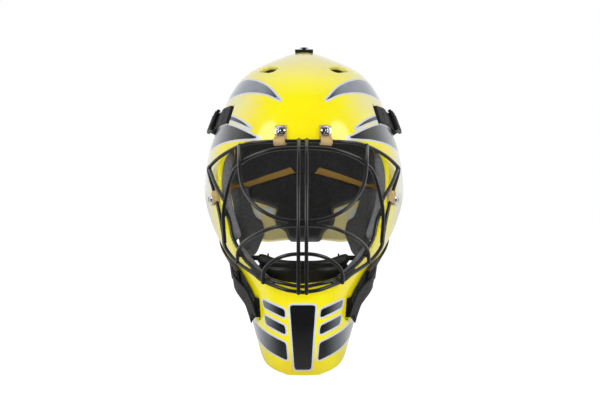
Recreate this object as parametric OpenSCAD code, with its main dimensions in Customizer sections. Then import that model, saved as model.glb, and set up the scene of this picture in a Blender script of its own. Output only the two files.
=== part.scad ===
// Field hockey goalkeeper helmet: rigid shell with a bolted wire cage,
// a strapped back plate, foam lining, a swinging chin cup and ladder-lock buckles.
// X runs across the face, -Y is the front and +Z is up.
// The origin is the middle of the wearer's head, level with the eyes.

/* [Shell] */
// Width of the shell at its widest ring
shell_w = 208; // [200:1:216]
// Depth from the front of the chin to the back of the back plate
shell_d = 276; // [266:1:286]
// Height from the crown to the bottom of the chin
shell_h = 325; // [315:1:335]
// Thickness of the shell and back plate walls
shell_t = 4.5; // [4:0.1:5]
// Length of a crown vent
vent_l = 25; // [18:0.5:28]
// Width of a crown vent
vent_w = 12; // [9:0.5:14]
// Length of a chin strap slot
chin_slot_l = 24; // [22:0.5:27]
// Width of a chin strap slot
chin_slot_w = 9; // [7:0.5:12]

/* [Cage] */
// Diameter of the cage wire
wire_d = 4.2; // [3.8:0.1:4.6]
// Distance between the two upright bars, centre to centre
bar_pitch = 8; // [7:0.1:9.5]
// Width of a clip across its wire
clip_w = 12; // [10:0.5:14]
// Thickness of the clip strip
clip_t = 1.6; // [1.2:0.1:2]
// Diameter of a clip screw's shank
screw_d = 4.8; // [4:0.1:5.4]
// Diameter of a clip screw's head
screw_head_d = 11; // [9:0.5:12]

/* [Lining] */
// Thickness of the foam pads
pad_t = 12; // [9:0.5:14]
// Thickness of the chin cup's wall
cup_t = 7; // [5:0.5:9]
// Diameter of a chin cup stud
stud_d = 5; // [4:0.1:6]

/* [Harness] */
// Width of the webbing and the elastic
strap_w = 19; // [16:0.5:20]
// Thickness of the webbing and the elastic
strap_t = 1.4; // [1.2:0.1:1.6]
// Length of a ladder-lock buckle between its end bars
buckle_l = 17; // [15:0.5:20]
// Thickness of a buckle's side rails
buckle_t = 3.6; // [3.2:0.1:4.4]
// Diameter of a buckle's loop bar
loop_bar_d = 3; // [2.6:0.1:3.2]
// Diameter of a rivet's head
rivet_d = 9; // [7:0.5:11]

/* [Hidden] */
// Clearance between neighbouring pieces
gap = 0.3;
// Sizes at which the rings and routes below were drawn
drawn_w = 208;
drawn_d = 276;
drawn_h = 325;
sx = shell_w / drawn_w;
sy = shell_d / drawn_d;
sz = shell_h / drawn_h;
// Rings of the helmet from the crown down: height, half width, middle, front and rear
RINGS = [
    [155.5, 0, 8, 8, 8],
    [147, 30, 8, -29, 47],
    [131, 61, 8, -60, 80],
    [107, 79, 9, -87, 111],
    [82, 88.5, 10, -100, 128],
    [56, 98, 10, -106, 136],
    [28, 103.5, 10, -110, 138],
    [2, 104, 9, -114, 134],
    [-26, 96, 5, -120, 124],
    [-50, 84, -4, -127, 111],
    [-72, 71, -18, -133, 96],
    [-95, 60, -36, -137, 80],
    [-120, 52.5, -52, -138, 60],
    [-145, 45.5, -64, -131, 40],
    [-162, 41.5, -70, -119, 22],
    [-172, 36, -72, -108, 8]
];
// Rings of the chin cup, in the same order
CUP_RINGS = [
    [-50, 43, -74, -102, -60],
    [-58, 45, -74, -107, -60],
    [-68, 44, -74, -109, -60],
    [-78, 39, -75, -106, -62],
    [-86, 31, -76, -98, -66],
    [-91, 20, -79, -91, -70]
];
// Outline of the face opening, right half, from the brow down
OPENING = [
    [0, 56.5], [40, 56.5], [66, 54], [80, 46.5], [85.5, 32], [85.8, 8],
    [80.5, -21], [71, -42], [59.5, -59], [43, -71.5], [24, -77.5], [0, -80.5]
];
// Lower and rear edge of the shell seen from the side: depth and height
SHELL_EDGE = [
    [-128, -180], [-107, -173.5], [-103.5, -169.5], [-94.5, -162.5], [-87.5, -156],
    [-80.5, -148], [-75, -137], [-60, -118], [-30, -90],
    [0, -68], [30, -54], [52, -46], [62, -36], [68, 0], [68, 40], [60, 84],
    [46, 122], [30, 160]
];
// Front and lower edge of the back plate seen from the side
BACK_EDGE = [
    [54, 160], [66, 130], [78, 88], [83, 44], [82, 0], [80, -28], [86, -42],
    [97, -47], [111, -45.5], [124, -42.5], [132, -42]
];
$fn = 32;

// Curve through the points b and c, with their neighbours a and d
function curve(a, b, c, d, t) =
    ((3 * b - a - 3 * c + d) * pow(t, 3) + (2 * a - 5 * b + 4 * c - d) * t * t
    + (c - a) * t + 2 * b) / 2;
function along(pts, u) =
    let (last = len(pts) - 1, i = max(0, min(floor(u), last - 1)))
    curve(i > 0 ? pts[i - 1] : 2 * pts[0] - pts[1], pts[i], pts[i + 1],
          i + 2 <= last ? pts[i + 2] : 2 * pts[last] - pts[last - 1], u - i);
// A straight-sided list of points, read at a share s of its length in points
function poly_at(pts, s) =
    let (u = s * (len(pts) - 1), i = min(floor(u), len(pts) - 2))
    pts[i] + (u - i) * (pts[i + 1] - pts[i]);
function unit(v) = v / norm(v);

// A ring of a lofted body: the ring past a closed crown is the first one turned round
function ring(rings, u) =
    let (last = len(rings) - 1, i = max(0, min(floor(u), last - 1)), r = rings[1])
    curve(i > 0 ? rings[i - 1] : rings[0][1] == 0 ? [r[0], -r[1], r[2], r[4], r[3]]
              : 2 * rings[0] - rings[1],
          rings[i], rings[i + 1],
          i + 2 <= last ? rings[i + 2] : 2 * rings[last] - rings[last - 1], u - i);
// Ring number at a height, found by halving
function ring_no(rings, z, lo, hi, n = 16) =
    let (mid = (lo + hi) / 2)
    n == 0 ? mid
    : ring(rings, mid)[0] > z ? ring_no(rings, z, mid, hi, n - 1)
    : ring_no(rings, z, lo, mid, n - 1);
// Point of the skin at an angle round from the front and a ring number
function skin(rings, th, u) =
    let (q = ring(rings, u), c = cos(th))
    [q[1] * sin(th) * sx, (q[2] - (c > 0 ? q[2] - q[3] : q[4] - q[2]) * c) * sy, q[0] * sz];
function skin_normal(rings, th, u) =
    u < 0.05 && rings[0][1] == 0 ? [0, 0, 1]
    : unit(cross(skin(rings, th + 1, u) - skin(rings, th - 1, u),
                 skin(rings, th, u - 0.04) - skin(rings, th, u + 0.04)));
function skin_off(rings, th, u, off) = skin(rings, th, u) + off * skin_normal(rings, th, u);
// Point off the helmet's skin at an angle and a drawn height
function at(th, z, off = 0, rings = RINGS) =
    skin_off(rings, th, ring_no(rings, z, 0, len(rings) - 1), off);
// A drawn point stretched to the helmet's size
function fit(p) = [p[0] * sx, p[1] * sy, p[2] * sz];

function split(q) = [[q[0], q[1], q[2]], [q[0], q[2], q[3]]];
function quads(list) = [for (q = list, t = split(q)) t];

// Frame on the skin, as its origin and axes: X runs round the head, Y up it, Z out of it.
// It is rolled about Z and then tipped, so that its X end lifts off the skin.
function frame(th, z, off = 0, roll = 0, tip = 0) =
    let (u = ring_no(RINGS, z, 0, len(RINGS) - 1), n = skin_normal(RINGS, th, u),
         e = unit(skin(RINGS, th + 1, u) - skin(RINGS, th - 1, u)), up = cross(n, e),
         x = cos(roll) * e + sin(roll) * up, y = cos(roll) * up - sin(roll) * e)
    [skin(RINGS, th, u) + off * n, cos(tip) * x + sin(tip) * n, y, cos(tip) * n - sin(tip) * x];
// A point given in a frame, in the helmet's own axes
function out_of(f, v) = f[0] + v[0] * f[1] + v[1] * f[2] + v[2] * f[3];
module on_frame(f) {
    multmatrix([for (i = [0:2]) [f[1][i], f[2][i], f[3][i], f[0][i]]]) children();
}
module on_skin(th, z, off = 0, roll = 0) on_frame(frame(th, z, off, roll)) children();

module left_of_right(left) {
    mirror([left ? 1 : 0, 0, 0]) children();
}

// Closed dome between two offsets of the skin, open at its last ring
module dome_wall(lo, hi, around = 44, steps = 23) {
    last = len(RINGS) - 1;
    function level(k) = last * k / steps;
    offs = [hi, lo];
    pts = [
        for (o = offs) skin_off(RINGS, 0, 0, o),
        for (o = offs, k = [1:steps], i = [0:around - 1])
            skin_off(RINGS, 360 * i / around, level(k), o)
    ];
    function id(side, k, i) = 2 + side * steps * around + (k - 1) * around + i % around;
    polyhedron(pts, concat(
        [for (i = [0:around - 1]) [0, id(0, 1, i + 1), id(0, 1, i)]],
        [for (i = [0:around - 1]) [1, id(1, 1, i), id(1, 1, i + 1)]],
        quads([for (k = [1:steps - 1], i = [0:around - 1])
            [id(0, k, i), id(0, k, i + 1), id(0, k + 1, i + 1), id(0, k + 1, i)]]),
        quads([for (k = [1:steps - 1], i = [0:around - 1])
            [id(1, k, i), id(1, k + 1, i), id(1, k + 1, i + 1), id(1, k, i + 1)]]),
        quads([for (i = [0:around - 1])
            [id(0, steps, i), id(0, steps, i + 1), id(1, steps, i + 1), id(1, steps, i)]])
    ), convexity = 8);
}

// Patch of a skin between two lines of [angle, height] points, from off lo out to off hi.
// The inner face may swell by crown at its middle, and the rim is drawn in by tuck.
module patch(a, b, lo, hi, n = 10, m = 6, crown = 0, tuck = 0, rings = RINGS) {
    function swell(s, t) = (1 - pow(2 * s - 1, 4)) * (1 - pow(2 * t - 1, 4));
    function place(i, j) =
        let (s = i / n, t = j / m, p = poly_at(a, s), q = poly_at(b, s)) p + t * (q - p);
    function lift(lo_or_hi, i, j) =
        lo_or_hi ? hi : lo + tuck * (1 - swell(i / n, j / m)) - crown * swell(i / n, j / m);
    pts = [for (o = [true, false], i = [0:n], j = [0:m])
        let (q = place(i, j)) at(q[0], q[1], lift(o, i, j), rings)];
    function top(i, j) = i * (m + 1) + j;
    function low(i, j) = (n + 1) * (m + 1) + top(i, j);
    polyhedron(pts, quads(concat(
        [for (i = [0:n - 1], j = [0:m - 1])
            [top(i, j), top(i, j + 1), top(i + 1, j + 1), top(i + 1, j)]],
        [for (i = [0:n - 1], j = [0:m - 1])
            [low(i, j), low(i + 1, j), low(i + 1, j + 1), low(i, j + 1)]],
        [for (i = [0:n - 1]) [top(i + 1, 0), low(i + 1, 0), low(i, 0), top(i, 0)]],
        [for (i = [0:n - 1]) [top(i, m), low(i, m), low(i + 1, m), top(i + 1, m)]],
        [for (j = [0:m - 1]) [low(0, j), low(0, j + 1), top(0, j + 1), top(0, j)]],
        [for (j = [0:m - 1]) [top(n, j), top(n, j + 1), low(n, j + 1), low(n, j)]]
    )), convexity = 6);
}

// Round wire swept along a smooth route of fitted points
module wire(route, steps, sides = 8, d = wire_d) {
    pts = [for (p = route) fit(p)];
    path = [for (k = [0:steps]) along(pts, (len(pts) - 1) * k / steps)];
    function way(k) = unit(path[min(k + 1, steps)] - path[max(k - 1, 0)]);
    function flat(k) = unit(cross(way(k), [0, 1, 0]));
    verts = [for (k = [0:steps]) let (e = flat(k), f = cross(way(k), e))
        for (i = [0:sides - 1]) let (w = 360 * (i + 0.5) / sides)
            path[k] + d / 2 * (cos(w) * e + sin(w) * f)];
    function id(k, i) = k * sides + i % sides;
    polyhedron(verts, concat(
        [[for (i = [0:sides - 1]) id(0, i)]],
        [[for (i = [sides - 1:-1:0]) id(steps, i)]],
        quads([for (k = [0:steps - 1], i = [0:sides - 1])
            [id(k, i), id(k + 1, i), id(k + 1, i + 1), id(k, i + 1)]])
    ), convexity = 6);
}
function mirrored(half) = concat(
    [for (i = [len(half) - 1:-1:1]) [-half[i][0], half[i][1], half[i][2]]], half);

// Flat outline with round ends, lying along X
module slot_2d(l, w) {
    square([l - w, w], center = true);
    for (side = [-1, 1]) translate([side * (l - w) / 2, 0]) circle(d = w);
}
module slot(l, w, depth) {
    translate([0, 0, -depth / 2]) linear_extrude(depth) slot_2d(l, w);
}
module rivet_hole(place) {
    on_skin(place[0], place[1])
        cylinder(d = rivet_shank + 2 * gap, h = cut_depth, center = true);
}
module side_extrude(outline, width) {
    rotate([90, 0, 90]) translate([0, 0, -width / 2]) linear_extrude(width)
        polygon([for (p = outline) [p[0] * sy, p[1] * sz]]);
}

// Places on the skin: [angle, height]
vent_at = [39.5, 134];
chin_slot_at = [52, -106];
upper_slot_at = [59, 87];
top_clip_at = [13.2, 67.5];
side_clip_at = [62, 1];
crown_rivet_at = [0, 155.3];
back_rivets_at = [[180, 126.5], [131, 62.8], [-131, 62.8], [130, -20.3], [-130, -20.3]];
// Depth of every cut through the wall
cut_depth = 4 * shell_t;
slot_gap = 1.2;
rail_w = 2.2;
// Reach of a buckle's lift tab past its last bar, and its depth below the middle
lift_tab = 3;
tab_low = 0.4;
buckle_w = strap_w + 2 * gap + 2 * rail_w;
rivet_shank = 0.45 * rivet_d;
eye_r = loop_bar_d / 2 + gap + strap_t;
// Height of a buckle's bars over the skin, with a strap between
bar_off = gap + strap_t + gap + buckle_t / 2;
strap_mid = gap + strap_t / 2;
// Face of what sits inside the curved wall, with room for glue
glue = 0.5;
inside = -shell_t - gap - glue;
// Frames of the three kinds of buckle, at their loop bars
TOP_BUCKLE = frame(180, 150.2, bar_off + 0.8, -90);
UPPER_BUCKLE = frame(86, 82, bar_off + 1.8, -12, 8);
LOWER_BUCKLE = frame(63, -79, bar_off + 0.6, 26);

// Centre line of the opening, smoothed between its drawn corners
opening_steps = 36;
module opening_2d() {
    half = [for (k = [0:opening_steps]) along(OPENING, (len(OPENING) - 1) * k / opening_steps)];
    polygon(concat([for (p = half) [p[0] * sx, p[1] * sz]],
                   [for (k = [opening_steps - 1:-1:1]) [-half[k][0] * sx, half[k][1] * sz]]));
}

module shell() {
    reach = 2 * drawn_h;
    color([1, 0.9, 0.05]) difference() {
        dome_wall(-shell_t, 0);
        rotate([90, 0, 0]) translate([0, 0, 20]) linear_extrude(reach) opening_2d();
        side_extrude(concat(SHELL_EDGE, [[reach, 160], [reach, -reach], [-128, -reach]]), reach);
        for (side = [-1, 1]) {
            on_skin(side * vent_at[0], vent_at[1], 0, side * 12) slot(vent_l, vent_w, cut_depth);
            on_skin(side * chin_slot_at[0], chin_slot_at[1], 0, 90)
                slot(chin_slot_l, chin_slot_w, cut_depth);
            on_skin(side * upper_slot_at[0], upper_slot_at[1], 0, 90)
                slot(strap_w + 2 * slot_gap + strap_t, strap_t + 2 * slot_gap, cut_depth);
            on_skin(side * top_clip_at[0], top_clip_at[1])
                cylinder(d = screw_d + 2 * gap, h = cut_depth, center = true);
            on_skin(side * side_clip_at[0], side_clip_at[1])
                cylinder(d = screw_d + 2 * gap, h = cut_depth, center = true);
        }
        rivet_hole(crown_rivet_at);
    }
}

module back_plate() {
    reach = 2 * drawn_h;
    color([0.98, 0.9, 0.35]) difference() {
        intersection() {
            dome_wall(-shell_t, 0);
            side_extrude(concat(BACK_EDGE, [[reach, -42], [reach, 160]]), reach);
        }
        for (p = back_rivets_at) rivet_hole(p);
    }
}

// Half routes of the cage wires, from the middle of the face to the side
RIM_TOP = [
    [0, -108.8, 57.6], [20, -107.6, 57.5], [40, -102, 57], [56, -92.5, 55.5], [70, -79, 51],
    [84, -65, 43.5], [95, -51, 34.5]
];
RIM_SIDE = [[97, -47, 31], [94.5, -52.3, 21], [89.4, -62.7, 6], [84, -72.3, -14], [80, -79, -34]];
RIM_LOW = [
    [77.5, -83, -47], [66, -98, -60.5], [48, -119, -71.5], [38.5, -129, -78], [17, -145, -85.5],
    [0, -149.5, -88]
];
module cage_rim() {
    color([0.1, 0.1, 0.11]) wire_loop(concat(RIM_TOP, RIM_SIDE, RIM_LOW), 62);
}

module wire_loop(half, steps) {
    // The loop is closed at the middle of its lower run
    wire(concat([for (i = [len(half) - 1:-1:1]) [-half[i][0], half[i][1], half[i][2]]], half),
         steps);
}

module cage_brow_arch() {
    color([0.1, 0.1, 0.11]) wire(mirrored([
        [0, -125, 50.5], [20, -124, 49.8], [36, -120.5, 47.2], [52, -113, 41.5],
        [62, -106.5, 35], [69, -99, 27], [75, -91, 10], [79.5, -84, -14], [78, -83.5, -44]
    ]), 44);
}

module cage_opening_loop() {
    color([0.1, 0.1, 0.11]) wire(mirrored([
        [0, -143.5, -82.8], [17, -139.5, -80.3], [31, -131.5, -76.8], [44, -120.5, -69.8],
        [51, -113, -63.8], [58, -105, -57], [65.5, -96.5, -45], [70, -90.5, -36],
        [73.5, -84.5, -20], [79.2, -81, -7]
    ]), 40);
}

module cage_eye_loop() {
    color([0.1, 0.1, 0.11]) wire(mirrored([
        [0, -154, -20.1], [21, -151.5, -18.2], [38.6, -144.5, -10.5], [50, -136.5, -0.5],
        [57.3, -128, 11.2], [61, -119, 24.3], [62.4, -109, 40], [63.5, -89.2, 54.2]
    ]), 40);
}

module cage_nose_arch() {
    color([0.1, 0.1, 0.11]) wire(mirrored([
        [0, -155, -23.6], [25.5, -150, -25.7], [43.7, -137, -32.7], [56.6, -121, -40.8],
        [63.3, -108.5, -49.4], [64.7, -100.6, -61]
    ]), 36);
}

module cage_mouth_arch() {
    color([0.1, 0.1, 0.11]) wire(mirrored([
        [0, -156, -51.1], [12.5, -154.5, -52], [24.2, -149.5, -55.9], [34, -142, -63.2],
        [37.8, -136.5, -70], [38.6, -131, -79.8]
    ]), 30);
}

module cage_bar(side) {
    x = side * bar_pitch / 2 / sx;
    color([0.1, 0.1, 0.11]) wire([
        [x, -111.6, 59.2], [x, -128.5, 47], [x, -142, 25], [x, -151.5, 2], [x, -157.6, -20],
        [x, -159.6, -42], [x, -157.5, -62], [x, -152.2, -88.9]
    ], 26);
}
module cage_bar_left() cage_bar(-1);
module cage_bar_right() cage_bar(1);

module cage_braces() {
    color([0.1, 0.1, 0.11]) for (side = [-1, 1])
        wire([[side * 95.6, -50.8, 31.5], [side * 89, -68, 17], [side * 78.6, -86.4, -0.4]], 8);
}

// Flat bar between two points, its face turned to a normal
module strip(p, q, normal, w, t) {
    x = unit(q - p);
    y = unit(cross(normal, x));
    on_frame([(p + q) / 2, x, y, cross(x, y)]) cube([norm(q - p), w, t], center = true);
}
function rim_point(u) = along([for (p = concat(RIM_TOP, RIM_SIDE, RIM_LOW)) fit(p)], u);
function rim_way(u) = unit(rim_point(u + 0.05) - rim_point(u - 0.05));

// Height of a clip's flat foot over the middle of the curved skin
foot_room = gap + 0.4;
// Folded strip that holds the rim wire down, screwed to the shell
module clip(place, u) {
    eye = wire_d / 2 + gap + clip_t;
    lift = foot_room + clip_t / 2;
    f = frame(place[0], place[1]);
    wire_at = rim_point(u);
    way = rim_way(u);
    seat = wire_at - (eye - clip_t / 2) * f[3];
    screw = out_of(f, [0, 0, lift]);
    along_skin = (seat - screw) - ((seat - screw) * f[3]) * f[3];
    foot = unit(along_skin) * (screw_head_d / 2 + gap);
    round = [wire_at, unit(cross(f[3], way)), f[3], way];
    difference() {
        union() {
            strip(screw - foot, screw + foot, f[3], clip_w, clip_t);
            strip(screw + 0.95 * foot, seat, f[3], clip_w, clip_t);
            on_frame(round) cylinder(r = eye, h = clip_w, center = true);
        }
        on_frame(round) cylinder(d = wire_d + 2 * gap, h = 2 * clip_w, center = true);
        on_frame(f) cylinder(d = screw_d + 2 * gap, h = cut_depth, center = true);
    }
}
// Places along the rim, in points of its route, where the clips sit
TOP_CLIP_ON_RIM = 1.12;
SIDE_CLIP_ON_RIM = 9.2;
module top_clip(left) {
    color([0.74, 0.56, 0.4]) left_of_right(left) clip(top_clip_at, TOP_CLIP_ON_RIM);
}
module side_clip(left) {
    color([0.74, 0.56, 0.4]) left_of_right(left) clip(side_clip_at, SIDE_CLIP_ON_RIM);
}
module top_clip_left() top_clip(true);
module top_clip_right() top_clip(false);
module side_clip_left() side_clip(true);
module side_clip_right() side_clip(false);

clip_places = [for (p = [top_clip_at, side_clip_at], side = [-1, 1]) [side * p[0], p[1]]];
head_h = 3.2;
// Span of the cross recess in a screw head
recess_l = 6;
module clip_screws() {
    seat = gap + foot_room + clip_t;
    color([0.8, 0.8, 0.8]) for (p = clip_places) on_skin(p[0], p[1], seat) {
        difference() {
            intersection() {
                translate([0, 0, head_h - screw_head_d]) sphere(r = screw_head_d);
                cylinder(d = screw_head_d, h = 2 * screw_head_d);
            }
            for (turn = [0, 90]) rotate([0, 0, turn])
                translate([0, 0, head_h])
                    cube([recess_l, recess_l / 5, 0.8 * head_h], center = true);
        }
        translate([0, 0, -seat - shell_t - 1]) cylinder(d = screw_d, h = seat + shell_t + 1.5);
    }
}

nut_flange = 1.2;
nut_d = 12;
module clip_nuts() {
    color([0.72, 0.72, 0.7]) for (p = clip_places) on_skin(p[0], p[1], inside - nut_flange)
        difference() {
            cylinder(d = nut_d, h = nut_flange);
            cylinder(d = screw_d, h = cut_depth, center = true);
        }
}
// Room for a clip's nut in a pad
module nut_pocket(place) {
    depth = nut_flange + 2 * gap;
    on_skin(place[0], place[1], inside - depth) cylinder(d = nut_d + 4 * gap, h = 2 * depth);
}

foam = [0.24, 0.24, 0.25];
module pad(a, b, t = pad_t, n = 10, m = 6) {
    color(foam) patch(a, b, inside - t, inside, n, m, 0.12 * t, 0.3 * t);
}
module forehead_pad() {
    difference() {
        pad([[-44, 61], [-15, 59.5], [15, 59.5], [44, 61]],
            [[-40, 98], [-13, 104], [13, 104], [40, 98]], pad_t, 14, 6);
        for (side = [-1, 1]) nut_pocket([side * top_clip_at[0], top_clip_at[1]]);
    }
}
module crown_pad() {
    difference() {
        pad([[-82, 119], [-30, 115], [30, 115], [82, 119]],
            [[-82, 150], [-30, 150], [30, 150], [82, 150]], pad_t, 16, 5);
        for (side = [-1, 1]) on_skin(side * vent_at[0], vent_at[1], 0, side * 12)
            slot(vent_l + 4, vent_w + 4, 4 * (shell_t + pad_t));
    }
}
module side_pad(left) left_of_right(left) difference() {
    pad([[57, -42], [84, -50], [115, -42]], [[57, 50], [84, 66], [114, 60]]);
    nut_pocket(side_clip_at);
}
module side_pad_left() side_pad(true);
module side_pad_right() side_pad(false);

// The cup's side studs, which it swings on
cup_axis = [0, -74, -58];
stud_reach = [36, 60];
stud_foot_at = [57.2, -58];
stud_l = 24.2;
stud_flange_d = 12;
stud_flange_t = 1.4;
jaw_pad_t = 0.6 * pad_t;
module stud_bore(d, to = stud_reach[1]) {
    translate([0, cup_axis[1] * sy, cup_axis[2] * sz]) rotate([0, 90, 0])
        translate([0, 0, stud_reach[0] * sx - 20]) cylinder(d = d, h = (to - stud_reach[0]) * sx + 40);
}
module jaw_pad(left) left_of_right(left) difference() {
    pad([[34, -96], [52, -94.5], [68, -89], [84, -74]],
        [[34, -77], [43, -70], [51, -60], [58, -46]], jaw_pad_t);
    stud_bore(stud_d + 3);
    on_skin(stud_foot_at[0], stud_foot_at[1], inside - stud_flange_t - 2 * gap)
        cylinder(d = stud_flange_d + 3, h = 8);
}
module jaw_pad_left() jaw_pad(true);
module jaw_pad_right() jaw_pad(false);

module chin_cup() {
    color([0.07, 0.07, 0.08]) difference() {
        patch([[-104, -90], [0, -90], [104, -90]], [[-104, -50.5], [0, -50.5], [104, -50.5]],
              -cup_t, 0, 20, 8, 0.15 * cup_t, 0.25 * cup_t, CUP_RINGS);
        for (left = [true, false]) left_of_right(left) stud_bore(stud_d + 2 * gap);
    }
}
module chin_studs() {
    head_t = 1.6;
    color([0.6, 0.6, 0.6]) for (left = [true, false]) left_of_right(left) {
        on_skin(stud_foot_at[0], stud_foot_at[1], inside - stud_flange_t)
            cylinder(d = stud_flange_d, h = stud_flange_t);
        translate([0, cup_axis[1] * sy, cup_axis[2] * sz]) rotate([0, 90, 0]) {
            translate([0, 0, stud_reach[0] * sx]) cylinder(d = stud_d, h = stud_l * sx);
            translate([0, 0, stud_reach[0] * sx - head_t]) cylinder(d = stud_d + 4, h = head_t);
        }
    }
}

module back_top_pad() pad(
    [[125, 16], [148, 25.5], [170, 36.5], [173, 33], [187, 33], [190, 36.5], [212, 25.5], [235, 16]],
    [[127, 88], [145, 98], [160, 103], [173, 104], [187, 104], [200, 103], [215, 98], [233, 88]],
    pad_t, 21, 7);
// The middle pad's right edge from the nape up; its left edge mirrors it
CENTRE_EDGE = [
    [193, -49.5], [194.5, -38], [201.5, -31], [201.5, -20], [199, -12], [210, -5.5],
    [221.5, 0], [222, 16], [189, 31.8]
];
module back_centre_pad()
    pad(CENTRE_EDGE, [for (p = CENTRE_EDGE) [360 - p[0], p[1]]], pad_t, 18, 10);
module back_side_pad(left) left_of_right(left) pad(
    [[119, -68], [127, -63.5], [135, -55], [142.5, -45], [143.5, -30], [137.5, -25],
     [135.5, -8], [135, 15]],
    [[112, -62], [113, -57.5], [117.5, -52.5], [120.5, -44], [121.5, -36], [125, -22],
     [126, -8], [126, 11]],
    pad_t, 11, 5);
module back_side_pad_left() back_side_pad(true);
module back_side_pad_right() back_side_pad(false);
// Pieces of hook tape on the bare wall between the pads: angle, height, length and width
HOOKS = [[154.5, -14.4, 11, 8], [144.9, -18, 10, 12]];
hook_t = 1;
module hook_patches() {
    color([0.85, 0.85, 0.82]) for (left = [true, false], h = HOOKS) left_of_right(left)
        on_skin(h[0], h[1], inside - hook_t / 2) cube([h[2], h[3], hook_t], center = true);
}

// A route is a list of centres with the face's normal, six numbers each
function on_skin_key(th, z, off) =
    let (f = frame(th, z, off)) concat(f[0], f[3]);
function frame_key(f, v) = concat(out_of(f, v), f[3]);
function mid3(k) = [k[0], k[1], k[2]];
function end3(k) = [k[3], k[4], k[5]];
// Flat strap along a route between two places on it
module ribbon(keys, from, to, steps, w = strap_w, t = strap_t) {
    stations = [for (k = [0:steps])
        let (u = from + (to - from) * k / steps, key = along(keys, u), p = mid3(key),
             way = unit(mid3(along(keys, u + 0.05)) - mid3(along(keys, u - 0.05))),
             side = unit(cross(end3(key), way)), face = cross(way, side))
        [p, side, face]];
    verts = [for (s = stations, c = [[-1, -1], [1, -1], [1, 1], [-1, 1]])
        s[0] + c[0] * w / 2 * s[1] + c[1] * t / 2 * s[2]];
    function id(k, i) = 4 * k + i % 4;
    polyhedron(verts, concat(
        [[for (i = [0:3]) id(0, i)], [for (i = [3:-1:0]) id(steps, i)]],
        quads([for (k = [0:steps - 1], i = [0:3])
            [id(k, i), id(k + 1, i), id(k + 1, i + 1), id(k, i + 1)]])
    ), convexity = 6);
}

webbing_black = [0.08, 0.08, 0.09];
// Ladder-lock: a loop bar at the origin, two ladder bars and a lift tab along +X
module ladder_lock() {
    span = buckle_w - rail_w;
    color([0.05, 0.05, 0.06]) {
        for (side = [-1, 1]) translate([-buckle_t / 2, side * span / 2 - rail_w / 2, -buckle_t / 2])
            cube([buckle_l + buckle_t, rail_w, buckle_t]);
        rotate([90, 0, 0]) cylinder(d = loop_bar_d, h = span, center = true);
        for (x = [0.55, 1]) translate([x * buckle_l, 0, 0])
            rotate([90, 0, 0]) cylinder(d = buckle_t - 0.4, h = span, center = true);
        translate([buckle_l, -span / 2 + rail_w, -tab_low])
            cube([lift_tab + buckle_t / 2, span - 2 * rail_w, buckle_t / 2 + tab_low]);
    }
}
// Length of the stitched end of a webbing behind its slot
flange_l = 10;
// Webbing from a slot in the shell to the eye round a loop bar
module webbing(keys, steps, f, place, roll) {
    color(webbing_black) difference() {
        union() {
            ribbon(keys, 0, len(keys) - 1, steps);
            on_frame(f) rotate([90, 0, 0]) cylinder(r = eye_r, h = strap_w, center = true);
            on_skin(place[0], place[1], 0, roll) {
                translate([0, 0, (inside - strap_t / 2 + strap_mid) / 2])
                    cube([strap_t, strap_w - 1, strap_mid - inside + strap_t / 2], center = true);
                translate([0, 0, inside - strap_t / 2])
                    cube([flange_l, strap_w, strap_t], center = true);
            }
        }
        on_frame(f) rotate([90, 0, 0])
            cylinder(d = loop_bar_d + 2 * gap, h = 2 * strap_w, center = true);
    }
}
under = -(buckle_t / 2 + gap + strap_t / 2);
eye_low = -(loop_bar_d / 2 + gap + strap_t / 2);
// Where webbing runs into the wall of its eye, a little over the eye's lowest point
eye_in = [0.92 * eye_low, 0, 0.46 * eye_low];
UPPER_WEBBING = [
    on_skin_key(59, 87, strap_mid), on_skin_key(66, 86.5, strap_mid),
    on_skin_key(75, 85.5, strap_mid + 0.4), frame_key(UPPER_BUCKLE, [-6, 0, eye_low - 0.6]),
    frame_key(UPPER_BUCKLE, eye_in)
];
UPPER_STRAP = [
    frame_key(UPPER_BUCKLE, [eye_r + gap, 0, under]),
    frame_key(UPPER_BUCKLE, [buckle_l + 2, 0, under]),
    on_skin_key(103, 77, 6.5), on_skin_key(114, 72.5, 3), on_skin_key(124, 67, strap_mid + 0.4),
    on_skin_key(134, 61, strap_mid)
];
LOWER_WEBBING = [
    on_skin_key(52, -106, strap_mid), on_skin_key(55.5, -103.5, strap_mid + 0.2),
    on_skin_key(58.2, -95.5, strap_mid + 0.5), frame_key(LOWER_BUCKLE, [-7.5, -1.5, eye_low]),
    frame_key(LOWER_BUCKLE, eye_in)
];
LOWER_STRAP = [
    frame_key(LOWER_BUCKLE, [eye_r + gap, 0, under]),
    frame_key(LOWER_BUCKLE, [buckle_l + 2, 0, under]),
    on_skin_key(85, -63, strap_mid + 0.6), on_skin_key(99, -50, strap_mid + 0.6),
    on_skin_key(114, -36, strap_mid + 0.8), on_skin_key(124, -25, strap_mid + 0.4),
    on_skin_key(133, -18, strap_mid)
];
// Place on each strap's route where the part in the buckle ends and the elastic begins
UPPER_SPLIT = 2.2;
LOWER_SPLIT = 2.4;
module upper_webbing(left) left_of_right(left)
    webbing(UPPER_WEBBING, 12, UPPER_BUCKLE, upper_slot_at, 0);
module lower_webbing(left) left_of_right(left)
    webbing(LOWER_WEBBING, 12, LOWER_BUCKLE, chin_slot_at, 20);
module upper_buckle(left) left_of_right(left) on_frame(UPPER_BUCKLE) ladder_lock();
module lower_buckle(left) left_of_right(left) on_frame(LOWER_BUCKLE) ladder_lock();
module strap(keys, from, to, steps, left) left_of_right(left)
    color(webbing_black) ribbon(keys, from, to, steps);
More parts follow.
